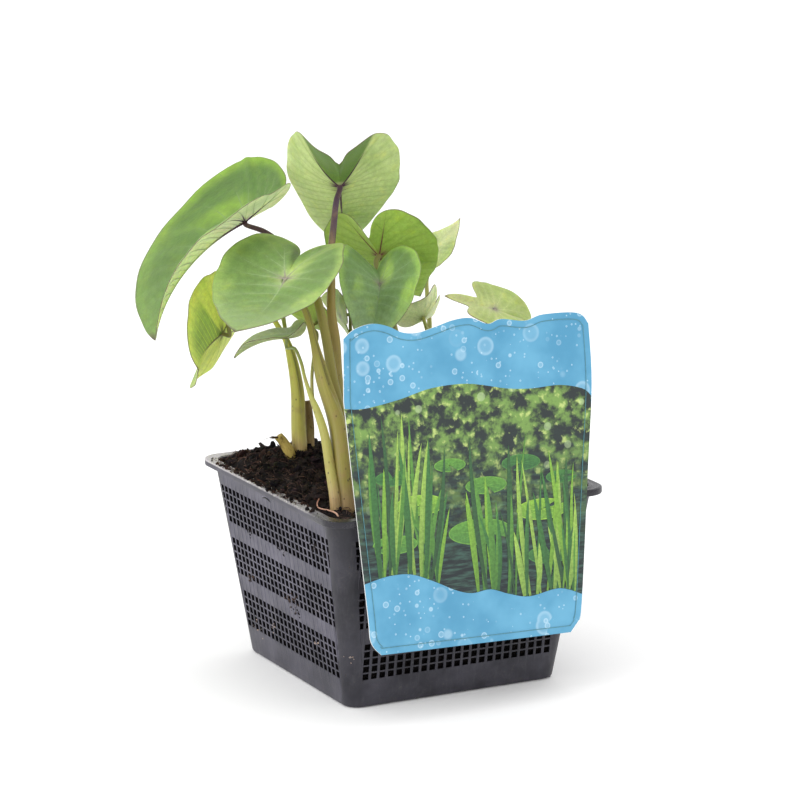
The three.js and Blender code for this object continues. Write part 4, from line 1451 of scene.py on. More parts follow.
def leaf_finishes(settings):
    """Waxy upper face, paler matt underside, thin edge, and veins."""
    made = []
    for name, rough, specular in (("leaf_face", 0.46, 0.34), ("leaf_back", 0.6, 0.25)):
        finish = Finish(name, specular=specular)
        flat = finish.flat()
        mottle = finish.noise(0.045, flat, 5, 0.62)
        fine = finish.noise(0.012, flat, 4, 0.6)
        shade = finish.ramp(mottle, 0.3, 0.72, 0.88, 1.11)
        base = finish.shaded(finish.times(shade, finish.ramp(fine, 0.3, 0.7, 0.96, 1.04)))
        patch = finish.ramp(finish.noise(0.16, flat, 4, 0.6, 0.6), 0.5, 0.72, 0, 0.5)
        base = finish.mix(patch, base, finish.multiply(base, (1.24, 1.1, 0.72, 1)))
        speck = finish.ramp(finish.cells(9, finish.place()), 0.018, 0.034, 1, 0)
        base = finish.mix(finish.times(speck, 0.6), base, srgb(74, 62, 48))
        finish.set("Base Color", base)
        finish.set("Roughness", finish.ramp(mottle, 0.25, 0.8, rough - 0.08, rough + 0.1))
        finish.set("Subsurface Weight", settings.glow)
        finish.set("Subsurface Scale", 0.0012)
        finish.set("Subsurface Radius", (0.6, 1.0, 0.25))
        net = finish.ramp(finish.cells(0.03, flat, feature="DISTANCE_TO_EDGE"), 0.0, 0.16)
        finish.bump(finish.plus(finish.times(net, 0.5), fine), 0.06)
        made.append(finish.material)
    edge = Finish("leaf_edge", 0.5, 0.3)
    patch = edge.ramp(edge.noise(1.5, edge.place()), 0.35, 0.65, 0, 0.5)
    edge.set("Base Color", edge.mix(patch, edge.tint(), srgb(150, 152, 96)))
    vein = Finish("leaf_vein", 0.5, 0.35)
    at = vein.place()
    vein.set("Base Color", vein.shaded(vein.ramp(vein.noise(0.8, at, 3), 0.3, 0.7, 0.9, 1.1)))
    vein.bump(vein.noise(0.4, at, 3), 0.03)
    return [*made, edge.material, vein.material]


# Stalks and the other growth

SOIL_PINK = (182, 146, 116)
PINK_REACH = 9
STALK_TONES = {
    # low, middle and high, as seen
    "middle_left": [(140, 130, 62), (146, 142, 60), (146, 148, 70)],
    "upper_left": [(134, 126, 58), (140, 134, 62), (76, 50, 54)],
    "top": [(140, 132, 64), (144, 126, 64), (74, 52, 68)],
    "small_left": [(168, 160, 86), (164, 166, 82), (136, 148, 88)],
    "small_middle": [(158, 150, 84), (150, 150, 80), (140, 140, 80)],
    "low_left": [(178, 172, 80), (184, 188, 74), (122, 120, 66)],
    "small_back": [(150, 140, 80), (140, 138, 74), (132, 140, 78)],
    "front_right": [(150, 140, 80), (140, 138, 74), (122, 108, 76)],
    "back_right": [(156, 150, 84), (146, 148, 78), (134, 132, 76)],
    "far_right": [(160, 156, 84), (156, 160, 82), (160, 166, 92)],
    "folded_right": [(160, 156, 84), (152, 156, 80), (150, 158, 84)],
    "low_right": [(158, 150, 84), (154, 156, 80), (160, 166, 88)],
}


def stalk_finish():
    """Smooth fleshy stalk with fine lengthwise streaks and a few dark flecks."""
    finish = Finish("stalk_skin", 0.42, 0.4)
    at = finish.place()
    lines = finish.noise(1.0, finish.stretched(finish.flat(), (5, 55, 1)), 3, 0.6)
    base = finish.shaded(finish.ramp(lines, 0.3, 0.7, 0.86, 1.1))
    cloud = finish.ramp(finish.noise(3.5, at, 4), 0.45, 0.8, 0, 0.5)
    base = finish.mix(cloud, base, srgb(146, 118, 78))
    fleck = finish.ramp(finish.cells(1.9, finish.place((1, 1, 0.6))), 0.1, 0.19, 1, 0)
    fleck = finish.times(fleck, finish.ramp(finish.noise(6, at, 2), 0.42, 0.56))
    fleck = finish.times(fleck, finish.ramp(finish.axis(at, "Z"), 92, 128, 1, 0.15))
    base = finish.mix(finish.times(fleck, 0.8), base, srgb(52, 38, 24))
    finish.set("Base Color", base)
    finish.set("Subsurface Weight", 0.08)
    finish.set("Subsurface Scale", 0.001)
    finish.bump(finish.plus(lines, finish.times(fleck, 0.5)), 0.08)
    return finish.material


def rooted(points):
    """The stalk's lower end, sunk straight down into the soil."""
    x, y, z, radius = points[0]
    return [[x, y, z - STEM_DEPTH, radius], *points]


def stalk_line(name, steps):
    """Centre line of a stalk, up to the middle of its blade."""
    leaf = LEAVES[name]
    up = leaf_turn(leaf) @ Vector((0, 0, 1))
    points = rooted(STALKS[name])
    radius = points[-1][3]
    if name in ("upper_left", "top"):
        drops = ((1.4, 0.92), (0.1, 1))
    else:
        drops = ((3.2, 0.9), (1.1, 0.92), (0.1, 1))
    for below, share in drops:
        points.append([*(Vector(leaf["at"]) - up * below), radius * share])
    return through(points, steps)


def turned_from(angle, facing):
    """Angle from the way a groove faces, between half a turn either way."""
    return (angle - facing + math.pi) % (2 * math.pi) - math.pi


def sheath_form(open_from, open_to, facing, depth):
    """A stalk whose lower part is a sheath, open as a groove along one side with raised lips."""
    def form(share, angle):
        zone = span(share, open_from - 0.06, open_from + 0.03, open_to - 0.16, open_to)
        off = turned_from(angle, facing)
        lips = bell(np.abs(off) - 0.62, 0.2)
        swell = 1 + 0.05 * np.sin(share * 17) * (1 - share)
        return swell * (1 - zone * depth * bell(off, 0.34) + zone * 0.1 * lips)
    return form


SHEATHS = {
    # share of the stalk where the sheath opens and ends, where it faces, and its depth
    "middle_left": (0.3, 0.74, 0.5, 0.62),
    "upper_left": (0.16, 0.42, 3.6, 0.4),
    "top": (0.14, 0.4, 5.2, 0.35),
    "small_left": (0.3, 0.62, 1.2, 0.4),
    "low_left": (0.2, 0.5, 0.4, 0.5),
    "front_right": (0.2, 0.45, 3.5, 0.35),
    "back_right": (0.2, 0.45, 0.3, 0.35),
    "far_right": (0.2, 0.5, 5.9, 0.35),
}


def stalk_tints(line, sides, tones, groove=None):
    """Pink-tan at the soil, then the stalk's own three tones; a groove gets painted shade inside.
    """
    share = np.linspace(0, 1, len(line))
    low, middle, high = (srgb(*tone) for tone in tones)
    tint = blend(low, middle, smooth(share, 0.1, 0.5))
    tint = blend(tint, high, smooth(share, 0.48, 0.78))
    above = line[:, 2] - (line[0, 2] + STEM_DEPTH)
    tint = blend(tint, srgb(*SOIL_PINK), 0.6 * (1 - smooth(above, 0, PINK_REACH)))
    angles = np.arange(sides) * 2 * math.pi / sides
    tint = tint[:, None, :] * (1 + 0.05 * np.sin(angles * 2 + 1))[None, :, None]
    if groove is not None:
        open_from, open_to, facing, depth = groove
        # painted shade inside the open groove
        zone = span(share, open_from, open_from + 0.04, open_to - 0.14, open_to - 0.02)
        inside = bell(turned_from(angles, facing), 0.26)
        dark = zone[:, None] * inside[None, :] * min(1.2 * depth, 0.85)
        tint = blend(tint, srgb(58, 50, 28), dark)
    tint[..., 3] = 1
    return tint


def add_stalk(shape, name):
    line = stalk_line(name, 9)
    groove = SHEATHS.get(name)
    form = sheath_form(*groove) if groove else None
    add_tube(shape, line, 24, stalk_tints(line, 24, STALK_TONES[name], groove), form)


def growth_finish(name, fibre, spot):
    """Dry or scarred growth: streaked along its length, with blotches."""
    finish = Finish(name, 0.72, 0.25)
    lines = finish.noise(1.0, finish.stretched(finish.flat(), (4, 30, 1)), 4, 0.65)
    base = finish.mix(finish.ramp(lines, 0.4, 0.75, 0, 0.6), finish.tint(), srgb(*fibre))
    blotch = finish.ramp(finish.noise(1.3, finish.place(), 4), 0.56, 0.7, 0, 0.8)
    finish.set("Base Color", finish.mix(blotch, base, srgb(*spot)))
    finish.bump(lines, 0.2)
    return finish.material


# Card


def flat_spline(points, steps=6):
    """Smooth flat line through points."""
    points = np.array(points, float)
    slopes = np.gradient(points, axis=0)
    slopes[0] /= 2
    slopes[-1] /= 2
    line = [
        hermite(*points[i:i + 2], *slopes[i:i + 2], step / steps)
        for i in range(len(points) - 1) for step in range(steps)
    ]
    return np.array([*line, points[-1]])


def card_outline():
    """The die-cut outline, all the way round, clockwise from the top left."""
    top = flat_spline(CARD_TOP_EDGE)
    right = flat_spline([CARD_TOP_EDGE[-1], *CARD_RIGHT_EDGE])
    corner = flat_spline([CARD_RIGHT_EDGE[-1], CARD_BOTTOM_EDGE[0]], 2)
    left = flat_spline([CARD_BOTTOM_EDGE[1], *CARD_LEFT_EDGE])
    return np.concatenate([top[:-1], right[:-1], corner, left])


def on_card(flat, lift):
    """Places on the card's front: along it, up it, and a lift off the print in millimetres."""
    turn = (
        Matrix.Rotation(math.radians(90 - CARD_LEAN), 3, "X")
        @ Matrix.Rotation(math.radians(CARD_ROLL), 3, "Z")
    )
    at = Vector(CARD_AT)
    return [tuple(turn @ Vector((x, y, lift)) + at) for x, y in flat]


def add_band(shape, line, width, lift, finish, tint):
    """A printed line of even or changing width."""
    line = np.array(line, float)
    side = sideways(line) * (np.asarray(width) / 2 * np.ones(len(line)))[:, None]
    flat = np.concatenate([line - side, line + side])
    shape.add(on_card(flat, lift), grid_faces(2, len(line)), finish, tint, flat)


def between_lines(outline, low, high):
    """The part of the card's side edges between two heights: left side, right side."""
    right = [p for p in outline if p[0] > 30 and low[1] < p[1] < high[1]]
    left = [p for p in outline if p[0] < -30 and low[0] < p[1] < high[0]]
    right.sort(key=lambda p: -p[1])
    left.sort(key=lambda p: p[1])
    return left, right


def inset(outline, gap):
    """Outline drawn in evenly by a gap."""
    points = np.array(outline)
    after = np.roll(points, -2, 0) - np.roll(points, 2, 0)
    after /= np.linalg.norm(after, axis=1)[:, None]
    return points + np.stack([after[:, 1], -after[:, 0]], -1) * gap


def add_card_sheet(shape, settings):
    """The sheet itself, with its cut edge; gives its outline."""
    outline = card_outline()
    count = len(outline)
    points = on_card(outline, 0) + on_card(outline, -settings.thickness / MM)
    front = flat_triangles([outline])
    back = [(count + a, count + c, count + b) for a, b, c in front]
    cut = [(i, (i + 1) % count, count + (i + 1) % count, count + i) for i in range(count)]
    for finish, faces in ((0, front), (1, back + cut)):
        shape.add(points, faces, finish, flat=np.tile(outline, (2, 1)))
    return outline


def add_tongue(shape):
    """Strip behind the card: over the rim, then down between the wall and the soil."""
    thick, bend = 0.5, 1.2
    half = TONGUE_WIDTH / 2
    top = BASKET_HEIGHT + 0.4 + thick / 2
    back = -(wall_half(BASKET_HEIGHT) - WALL - 0.3) - 0.8
    slope = math.atan((WALL_TOP_HALF - BASE_HALF) / (BASKET_HEIGHT - RIM_HEIGHT))
    line = [(CARD_AT[1] + 0.5, top), (back, top)]
    for step in range(1, 6):
        angle = step / 5 * (math.pi / 2 - slope)
        line.append((back + bend * math.sin(angle), top - bend * (1 - math.cos(angle))))
    reach = TONGUE_DEPTH - 2
    y, z = line[-1]
    line.append((y + reach * math.sin(slope), z - reach * math.cos(slope)))
    line = np.array(line)
    rings = []
    for (y, z), (oy, oz) in zip(line, sideways(line) * thick / 2):
        rings += [
            (CARD_AT[0] - half, y - oy, z - oz), (CARD_AT[0] + half, y - oy, z - oz),
            (CARD_AT[0] + half, y + oy, z + oz), (CARD_AT[0] - half, y + oy, z + oz),
        ]
    faces = grid_faces(len(line), 4, closed=True)
    last = (len(line) - 1) * 4
    faces += [(3, 2, 1, 0), (last, last + 1, last + 2, last + 3)]
    shape.add(rings, faces, 1)


def picture_edges(outline):
    """The picture's outline, out to the card's cut edges, and its upper and lower lines."""
    header = flat_spline(HEADER_LINE)
    footer = flat_spline(FOOTER_LINE)
    left, right = between_lines(outline, footer[[0, -1], 1], header[[0, -1], 1])
    return [*header, *right, *footer[::-1], *left], header, footer


def add_reed(shape, foot, top, lean, width, lift, tint):
    """A tapered grass blade of the printed pond scene."""
    t = np.linspace(0, 1, 14)
    x = foot[0] + (top[0] - foot[0]) * t + lean * t * (1 - t)
    y = foot[1] + (top[1] - foot[1]) * t
    widths = width * np.sin(np.pi * np.clip(0.12 + 0.88 * t, 0, 1)) ** 0.7
    shade = blend(tint * [0.55, 0.6, 0.6, 1], tint, t)
    shade = np.concatenate([shade, shade * [1.25, 1.2, 1.1, 1]])
    add_band(shape, np.stack([x, y], -1), widths, lift, 4, shade)


def add_pad(shape, middle, wide, notch, lift, tint):
    """A round floating leaf seen at a slant, with its notch, pale rim and rays."""
    def spot(angle, share=1):
        return (
            middle[0] + share * wide * math.cos(angle),
            middle[1] + share * wide * 0.36 * math.sin(angle),
        )

    angles = np.linspace(notch + 0.22, notch + 2 * math.pi - 0.22, 40)
    ring = [spot(angle) for angle in angles]
    shades = [tint * [0.8, 0.85, 0.85, 1]]
    shades += [tint * [1 + 0.22 * math.sin(a), 1 + 0.18 * math.sin(a), 1, 1] for a in angles]
    flat = [middle, *ring]
    faces = [(0, k, k + 1) for k in range(1, len(ring))]
    shape.add(on_card(flat, lift), faces, 4, shades, flat)
    add_band(shape, ring, 0.35, lift + 0.01, 4, tint * [1.5, 1.35, 1.2, 1])
    for k in range(1, 8):
        end = spot(notch + 2 * math.pi * k / 8, 0.86)
        add_band(shape, [middle, end], [0.3, 0.08], lift + 0.01, 4, tint * [1.35, 1.25, 1.2, 1])


def add_picture(shape, outline):
    """Printed scene of the card's own: reeds and floating leaves on a shaded pond."""
    panel, header, footer = picture_edges(outline)
    shape.add(on_card(panel, 0.012), flat_triangles([panel]), 2, flat=panel)
    rng = random.Random(5)
    greens = np.array([srgb(*tone) for tone in PRINTED_GREENS])
    lift = 0.02
    for x, y, wide in PADS:
        lift += 0.004
        tint = greens[rng.randrange(3)]
        add_pad(shape, (x, y), wide, rng.uniform(0, 6.28), lift, tint)
    for cluster, spread, count in REEDS:
        for _ in range(count):
            x = within(cluster + rng.uniform(-spread, spread), -38.5, 40.5)
            foot = np.interp(x, *footer.T) + 0.15
            top = min(foot + rng.uniform(18, 58), np.interp(x, *header.T) - 2.5)
            lean = rng.uniform(-5, 5)
            end = within(x + rng.uniform(-7, 7), -39, 41)
            top = min(top, np.interp(end, *header.T) - 1.5)
            lift += 0.0012
            wide = rng.uniform(0.9, 2.6)
            add_reed(shape, (x, foot), (end, top), lean, wide, lift, greens[rng.randrange(5)])


def printed(name):
    """A finish under the card's thin gloss."""
    finish = Finish(name, 0.34, 0.45)
    finish.set("Coat Weight", 0.15)
    return finish


def print_finish(settings):
    """Blue print with pale bubbles of three sizes."""
    finish = printed("card_print")
    flat = finish.flat()
    cloud = finish.ramp(finish.noise(16, flat, 3, 0.5), 0.3, 0.72)
    base = finish.mix(cloud, (*settings.blue, 1), (*settings.pale, 1))
    for size, share, strength in ((9.5, 0.3, 0.22), (4.2, 0.24, 0.32), (1.9, 0.17, 0.4)):
        far = finish.cells(size, flat)
        tone = finish.axis(finish.cells(size, flat, "Color"), "X")
        disc = finish.ramp(far, share, share * 1.25, 1, 0)
        ring = finish.times(finish.ramp(far, share * 0.6, share), disc)
        shown = finish.ramp(tone, 0.5, 0.75, 0, strength)
        glow = finish.times(finish.plus(finish.times(disc, 0.6), ring), shown)
        base = finish.mix(glow, base, srgb(204, 232, 246))
    finish.set("Base Color", base)
    at = finish.place()
    finish.set("Roughness", finish.ramp(finish.noise(5, at, 4), 0.3, 0.7, 0.28, 0.42))
    finish.bump(finish.noise(22, at, 2), 0.25)
    return finish.material


def paper_finish():
    """White card stock: the cut edge and the plain back."""
    finish = Finish("card_stock", 0.6, 0.3)
    at = finish.place()
    mottle = finish.ramp(finish.noise(2.5, at, 5, 0.7), 0.3, 0.7)
    finish.set("Base Color", finish.mix(mottle, srgb(226, 228, 226), srgb(240, 240, 236)))
    finish.bump(finish.noise(0.5, at, 5, 0.7), 0.03)
    return finish.material


def pond_finish():
    """Soft printed background: dark water below, blurred foliage and light discs above."""
    finish = printed("printed_pond")
    flat = finish.flat()
    high = finish.ramp(finish.axis(flat, "Y"), -20, 34)
    leafy = finish.ramp(finish.noise(6.5, flat, 4, 0.6), 0.42, 0.62)
    top = finish.mix(leafy, srgb(34, 44, 44), srgb(122, 158, 78))
    top = finish.mix(finish.ramp(finish.noise(3.2, flat, 3), 0.56, 0.7), top, srgb(186, 206, 120))
    ripple = finish.noise(2.4, finish.stretched(flat, (0.3, 1.6, 1)), 4, 0.6)
    water = finish.mix(finish.ramp(ripple, 0.4, 0.72), srgb(20, 32, 36), srgb(62, 96, 84))
    disc = finish.ramp(finish.cells(6.5, flat), 0.22, 0.27, 1, 0)
    shown = finish.ramp(finish.axis(finish.cells(6.5, flat, "Color"), "X"), 0.55, 0.7, 0, 0.4)
    glow = finish.times(finish.times(disc, shown), high)
    finish.set("Base Color", finish.mix(glow, finish.mix(high, water, top), srgb(196, 218, 168)))
    finish.bump(finish.noise(22, finish.place(), 2), 0.25)
    return finish.material


def ink_finish():
    """Flat printed shapes in their own tints, with the grain of the print."""
    finish = printed("printed_shapes")
    grain = finish.noise(1.1, finish.flat(), 4, 0.6)
    finish.set("Base Color", finish.shaded(finish.ramp(grain, 0.3, 0.7, 0.8, 1.2)))
    return finish.material


# Other growth


def stalk_like(line, tones, sides, form):
    """A tube coloured as a stalk is."""
    shape = Shape()
    add_tube(shape, line, sides, stalk_tints(line, sides, tones), form)
    return shape


def build_rolled_leaf():
    """Young leaf on a slim stalk, its blade still rolled up in a spindle."""
    def form(share, angle):
        rolled = smooth(share, 0.68, 0.76)
        lap = (angle / (2 * math.pi) + share * 0.6) % 1
        return 1 + rolled * (0.16 * lap - 0.06)

    line = through(rooted(ROLLED_LEAF), 9)
    shape = stalk_like(line, [(160, 152, 84), (152, 160, 80), (150, 172, 84)], 20, form)
    shape.piece("spear_leaf", "stalk_green", [stalk_finish()], ["rolled_leaf"])


def build_old_sheath():
    """Old sheath left at the base of the rear clump, its torn end drying."""
    def form(share, angle):
        torn = smooth(share, 0.75, 1) * 0.25 * (1 + np.sin(angle * 3)) / 2
        return 1 - 0.3 * bell(angle - 4.6, 0.5) - torn

    line = through(rooted(OLD_SHEATH), 10)
    shape = stalk_like(line, [(156, 146, 84), (138, 134, 72), (126, 104, 66)], 24, form)
    finish = growth_finish("dry_sheath", (110, 92, 54), (84, 62, 40))
    shape.piece("dry_sheath", "old_sheath", [finish], ["old_sheath"])


def build_cut_stub():
    """Cut stub of an old stalk: tan, with frayed dark fibres at its end."""
    def form(share, angle):
        return 1 + 0.05 * np.sin(angle * 5 + share * 8) + 0.07 * smooth(share, 0.86, 1)

    line = through(rooted(CUT_STUB), 12)
    shape = Shape()
    add_tube(shape, line, 24, srgb(178, 158, 84), form)
    rng = random.Random(31)
    x, y, z, _ = line[-1]
    for number in range(22):
        angle = number * 2.4
        start = np.array([x + 0.8 * math.cos(angle), y + 0.8 * math.sin(angle), z - 0.5])
        aim = np.array([*(draws(rng, (-0.5, 0.5), (-0.6, 0.6)) - (0.9, 0.1)), 0.45])
        reach = rng.uniform(1.0, 3.4) if number else 6.5
        points = []
        for step in range(5):
            t = step / 4
            bend = np.array([0, 0, -0.8 * t * t * reach * 0.4])
            points.append((*(start + aim * reach * t + bend), 0.17 * (1 - 0.75 * t)))
        add_tube(shape, np.array(points), 5, srgb(58, 40, 32))
    finish = growth_finish("stub_skin", (146, 112, 58), (92, 66, 42))
    shape.piece("frayed_stub", "cut_stub", [finish], ["cut_stub"])


def build_surface_root():
    """Thin pink root that winds over the soil near the front left rim."""
    points = [
        (x, y, soil_height(x, y) + ROOT_RADIUS + 0.55, ROOT_RADIUS) for x, y in SURFACE_ROOT
    ]
    line = through(points, 10)
    line[:, 2] += 0.15 * np.sin(np.linspace(0, 9, len(line)))
    line[:, 3] *= np.linspace(0.4, 0.62, len(line))
    shape = Shape()
    tint = blend(srgb(206, 150, 130), srgb(222, 184, 160), np.linspace(0, 1, len(line)))
    add_tube(shape, line, 14, np.repeat(tint[:, None, :], 14, 1))
    finish = growth_finish("root_skin", (196, 138, 116), (150, 100, 84))
    shape.piece("pink_root", "surface_root", [finish], ["surface_root"])


# Stage


def build_floor():
    """Plain white floor, wide enough to fill any view."""
    mesh = bpy.data.meshes.new("floor")
    corners = [(x, y, 0) for x, y in box_outline(0, 0, 12, 12)]
    mesh.from_pydata(corners, [], [(0, 1, 2, 3)])
    floor = bpy.data.objects.new("floor", mesh)
    floor.location.z = -0.0002
    finish = Finish("white_floor", 0.9, 0.1)
    finish.set("Base Color", srgb(250, 250, 250))
    finish.set("Emission Color", (1, 1, 1, 1))
    finish.set("Emission Strength", 0.05)
    mesh.materials.append(finish.material)
    bpy.context.scene.collection.objects.link(floor)


def build_lights(scene, settings):
    """White surround, a large soft light from the upper left and a weaker one from above."""
    world = bpy.data.worlds.new("surround")
    world.use_nodes = True
    backdrop = world.node_tree.nodes["Background"]
    backdrop.inputs["Color"].default_value = (1, 1, 1, 1)
    backdrop.inputs["Strength"].default_value = settings.surround
    scene.world = world
    for name, place, size, power in (
        ("key", (-1.75, -0.3, 1.05), 0.9, settings.key),
        ("top", (0.25, 0.2, 1.7), 1.2, settings.key * 0.35),
    ):
        lamp = bpy.data.lights.new(name, "AREA")
        lamp.size = size
        lamp.energy = power
        thing = bpy.data.objects.new(name, lamp)
        thing.location = place
        aim = Vector((0, 0, 0.1)) - Vector(place)
        thing.rotation_euler = aim.to_track_quat("-Z", "Y").to_euler()
        scene.collection.objects.link(thing)


def build_camera(scene, settings):
    """Long lens at the photograph's angle."""
    camera = bpy.data.cameras.new("camera")
    camera.lens = settings.lens
    camera.sensor_width = 36
    camera.clip_start = 0.05
    camera.clip_end = 60
    thing = bpy.data.objects.new("camera", camera)
    right, up, back = (Vector(way) for way in (CAMERA_RIGHT, CAMERA_UP, CAMERA_BACK))
    pose = Matrix((right, up, back)).transposed().to_4x4()
    pose.translation = Vector(CAMERA_PLACE) * MM
    thing.matrix_world = pose
    scene.collection.objects.link(thing)
    scene.camera = thing
    scene.view_settings.view_transform = "Standard"


# Settings


def length(name, description, default, low, high):
    """A length, given in millimetres."""
    return bpy.props.FloatProperty(
        name=name, description=description, default=default * MM, min=low * MM, max=high * MM,
        unit="LENGTH", precision=5,
    )


def level(name, description, default, low, high, **more):
    """A plain number."""
    return bpy.props.FloatProperty(
        name=name, description=description, default=default, min=low, max=high, **more,
    )


def tally(name, description, default, high):
    """A whole number, from none up."""
    return bpy.props.IntProperty(
        name=name, description=description, default=default, min=0, max=high,
    )


def colour(name, description, *tone):
    return bpy.props.FloatVectorProperty(
        name=name, description=description, subtype="COLOR", size=3, min=0, max=1,
        default=srgb(*tone)[:3],
    )


class BasketSettings(bpy.types.PropertyGroup):
    opening: length("Opening", "Width and height of the wall openings", 2.25, 1.2, 2.4)
    rib: length("Rib", "How far the fine ribs stand out from the wall", 0.1, 0, 0.6)
    wall: length("Wall", "Thickness of the walls", 0.75, 0.5, 2)
    colour: colour("Plastic", "Colour of the plastic", 40, 39, 50)
    worn: colour("Rubbed plastic", "Colour where the plastic is rubbed", 74, 72, 84)


class SoilSettings(bpy.types.PropertyGroup):
    crumbs: tally("Crumbs", "How many crumbs lie on the heap", 3200, 5000)
    spilt: tally("Spilt crumbs", "How many crumbs lie on the rim", 230, 400)
    fibres: tally("Fibres", "How many loose fibres lie on the heap", 1300, 3000)
    dark: colour("Damp peat", "Colour of damp peat", 22, 20, 22)
    brown: colour("Dry peat", "Colour of drier peat", 44, 36, 35)
    fibre: colour("Fibre", "Colour of matted fibre", 82, 64, 52)


class LeafSettings(bpy.types.PropertyGroup):
    thickness: length("Thickness", "Thickness of the blades", 0.4, 0.2, 0.8)
    wave: length("Wave", "How far the blades' edges wave", 0.85, 0, 1.5)
    pillow: length("Pillow", "How far the blade stands up between its veins", 0.22, 0, 0.6)
    rib_reach: level(
        "Rib reach", "How far the dark colour runs along the ribs, as a share of the length",
        0.55, 0.1, 1, subtype="FACTOR",
    )
    glow: level("Glow", "How much light spreads within the blades", 0.55, 0, 1, subtype="FACTOR")


class CardSettings(bpy.types.PropertyGroup):
    thickness: length("Thickness", "Thickness of the card", 0.5, 0.2, CARD_THICKNESS)
    blue: colour("Blue", "Print colour", 77, 150, 187)
    pale: colour("Pale blue", "Paler print colour", 102, 172, 206)


class StageSettings(bpy.types.PropertyGroup):
    lens: level("Lens", "Focal length", 173.7, 20, 400, unit="CAMERA")
    surround: level("Surround", "Strength of the white surround", 1.04, 0, 3)
    key: level("Key light", "Power of the large soft light", 16, 0, 200, unit="POWER")


# Operators


class ELEPHANT_OT_basket(bpy.types.Operator):
    """Build the mesh basket with its rim and holed floor"""
    bl_idname = "elephant_ear.basket"
    bl_label = "Basket"

    def execute(self, context):
        settings = context.scene.elephant_basket
        shape = Shape()
        add_walls(shape, settings)
        add_rim(shape)
        add_floor(shape)
        add_nick(shape)
        basket = shape.piece("mesh_basket", "basket", [plastic_finish(settings)], ["basket"])
        tidy_mesh(basket)
        basket.data.set_sharp_from_angle(angle=math.radians(32))
        return {"FINISHED"}


class ELEPHANT_OT_soil(bpy.types.Operator):
    """Fill the basket with peat, with its crumbs and fibres"""
    bl_idname = "elephant_ear.soil"
    bl_label = "Soil"

    def execute(self, context):
        settings = context.scene.elephant_soil
        peat = [soil_finish(settings)]
        body = Shape()
        add_soil_body(body)
        body.piece("soil_heap", "soil", peat, ["soil"])
        crumbs = Shape()
        add_crumbs(crumbs, random.Random(21), settings)
        add_clods(crumbs, random.Random(23))
        add_wall_dirt(crumbs, random.Random(24))
        crumbs.piece("soil_crumbs", "soil", peat, sharp=40)
        fibres = Shape()
        add_fibres(fibres, random.Random(22), settings)
        add_spill(fibres, random.Random(25))
        fibres.piece("soil_fibres", "soil", peat)
        return {"FINISHED"}


class ELEPHANT_OT_leaves(bpy.types.Operator):
    """Build the leaf blades with their veins"""
    bl_idname = "elephant_ear.leaves"
    bl_label = "Leaves"

    def execute(self, context):
        settings = context.scene.elephant_leaf
        materials = leaf_finishes(settings)
        for slot, names in LEAF_SLOTS.items():
            for name in names:
                Blade(name, LEAVES[name], LEAF_TONES[name], settings).build(materials, slot)
        return {"FINISHED"}


class ELEPHANT_OT_stalks(bpy.types.Operator):
    """Build the leaf stalks with their open sheaths"""
    bl_idname = "elephant_ear.stalks"
    bl_label = "Stalks"

    def execute(self, context):
        skin = [stalk_finish()]
        for name in STALKS:
            shape = Shape()
            add_stalk(shape, name)
            slot = "stalk_purple" if name == "top" else "stalk_green"
            shape.piece(f"petiole_{name}", slot, skin, [f"stalk_{name}"])
        return {"FINISHED"}


class ELEPHANT_OT_growth(bpy.types.Operator):
    """Build the rolled young leaf, the old sheath, the cut stub and the surface root"""
    bl_idname = "elephant_ear.growth"
    bl_label = "Other growth"

    def execute(self, context):
        build_rolled_leaf()
        build_old_sheath()
        build_cut_stub()
        build_surface_root()
        return {"FINISHED"}


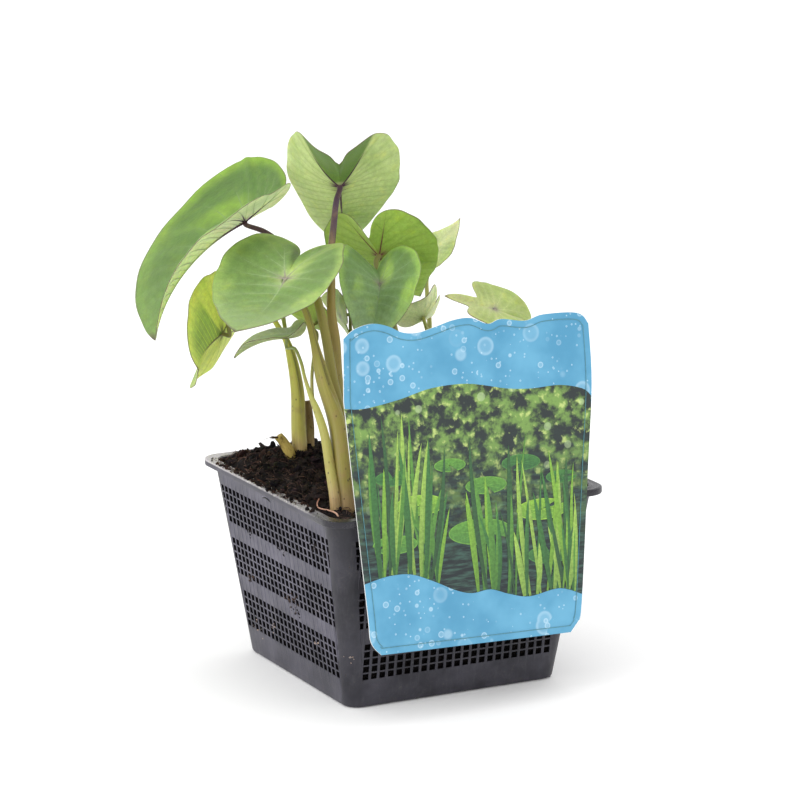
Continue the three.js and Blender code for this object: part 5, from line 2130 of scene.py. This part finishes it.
class ELEPHANT_OT_card(bpy.types.Operator):
    """Build the printed card and the strip that hooks it over the rim"""
    bl_idname = "elephant_ear.card"
    bl_label = "Card"

    def execute(self, context):
        settings = context.scene.elephant_card
        shape = Shape()
        outline = add_card_sheet(shape, settings)
        add_tongue(shape)
        add_picture(shape, outline)
        line = inset(outline, 2.4)
        add_band(shape, np.vstack([line, line[:1]]), 0.24, 0.19, 3, srgb(78, 132, 142))
        ink = ink_finish()
        finishes = [print_finish(settings), paper_finish(), pond_finish(), ink, ink]
        shape.piece("printed_card", "card", finishes, ["card"])
        return {"FINISHED"}


class ELEPHANT_OT_stage(bpy.types.Operator):
    """Set the pale floor, the soft lights and the camera"""
    bl_idname = "elephant_ear.stage"
    bl_label = "Stage"

    def execute(self, context):
        settings = context.scene.elephant_stage
        build_floor()
        build_lights(context.scene, settings)
        build_camera(context.scene, settings)
        return {"FINISHED"}


class ELEPHANT_PT_panel(bpy.types.Panel):
    """Lists the pieces of the potted elephant ear"""
    bl_label = "Elephant Ear"
    bl_idname = "ELEPHANT_PT_panel"
    bl_space_type = "VIEW_3D"
    bl_region_type = "UI"
    bl_category = "Elephant Ear"

    def draw(self, context):
        for operator, group in STEPS:
            box = self.layout.box()
            box.operator(operator.bl_idname)
            if group is not None:
                settings = getattr(context.scene, group[0])
                for name in group[1].__annotations__:
                    box.prop(settings, name)


STEPS = [
    (ELEPHANT_OT_basket, ("elephant_basket", BasketSettings)),
    (ELEPHANT_OT_soil, ("elephant_soil", SoilSettings)),
    (ELEPHANT_OT_stalks, None),
    (ELEPHANT_OT_leaves, ("elephant_leaf", LeafSettings)),
    (ELEPHANT_OT_growth, None),
    (ELEPHANT_OT_card, ("elephant_card", CardSettings)),
    (ELEPHANT_OT_stage, ("elephant_stage", StageSettings)),
]


def register():
    for operator, group in STEPS:
        if group is not None:
            bpy.utils.register_class(group[1])
            setattr(bpy.types.Scene, group[0], bpy.props.PointerProperty(type=group[1]))
        bpy.utils.register_class(operator)
    bpy.utils.register_class(ELEPHANT_PT_panel)


def unregister():
    bpy.utils.unregister_class(ELEPHANT_PT_panel)
    for operator, group in reversed(STEPS):
        bpy.utils.unregister_class(operator)
        if group is not None:
            delattr(bpy.types.Scene, group[0])
            bpy.utils.unregister_class(group[1])


def main():
    """Register the add-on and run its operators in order."""
    register()
    for operator, _ in STEPS:
        group, name = operator.bl_idname.split(".")
        getattr(getattr(bpy.ops, group), name)()


if __name__ == "__main__":
    main()
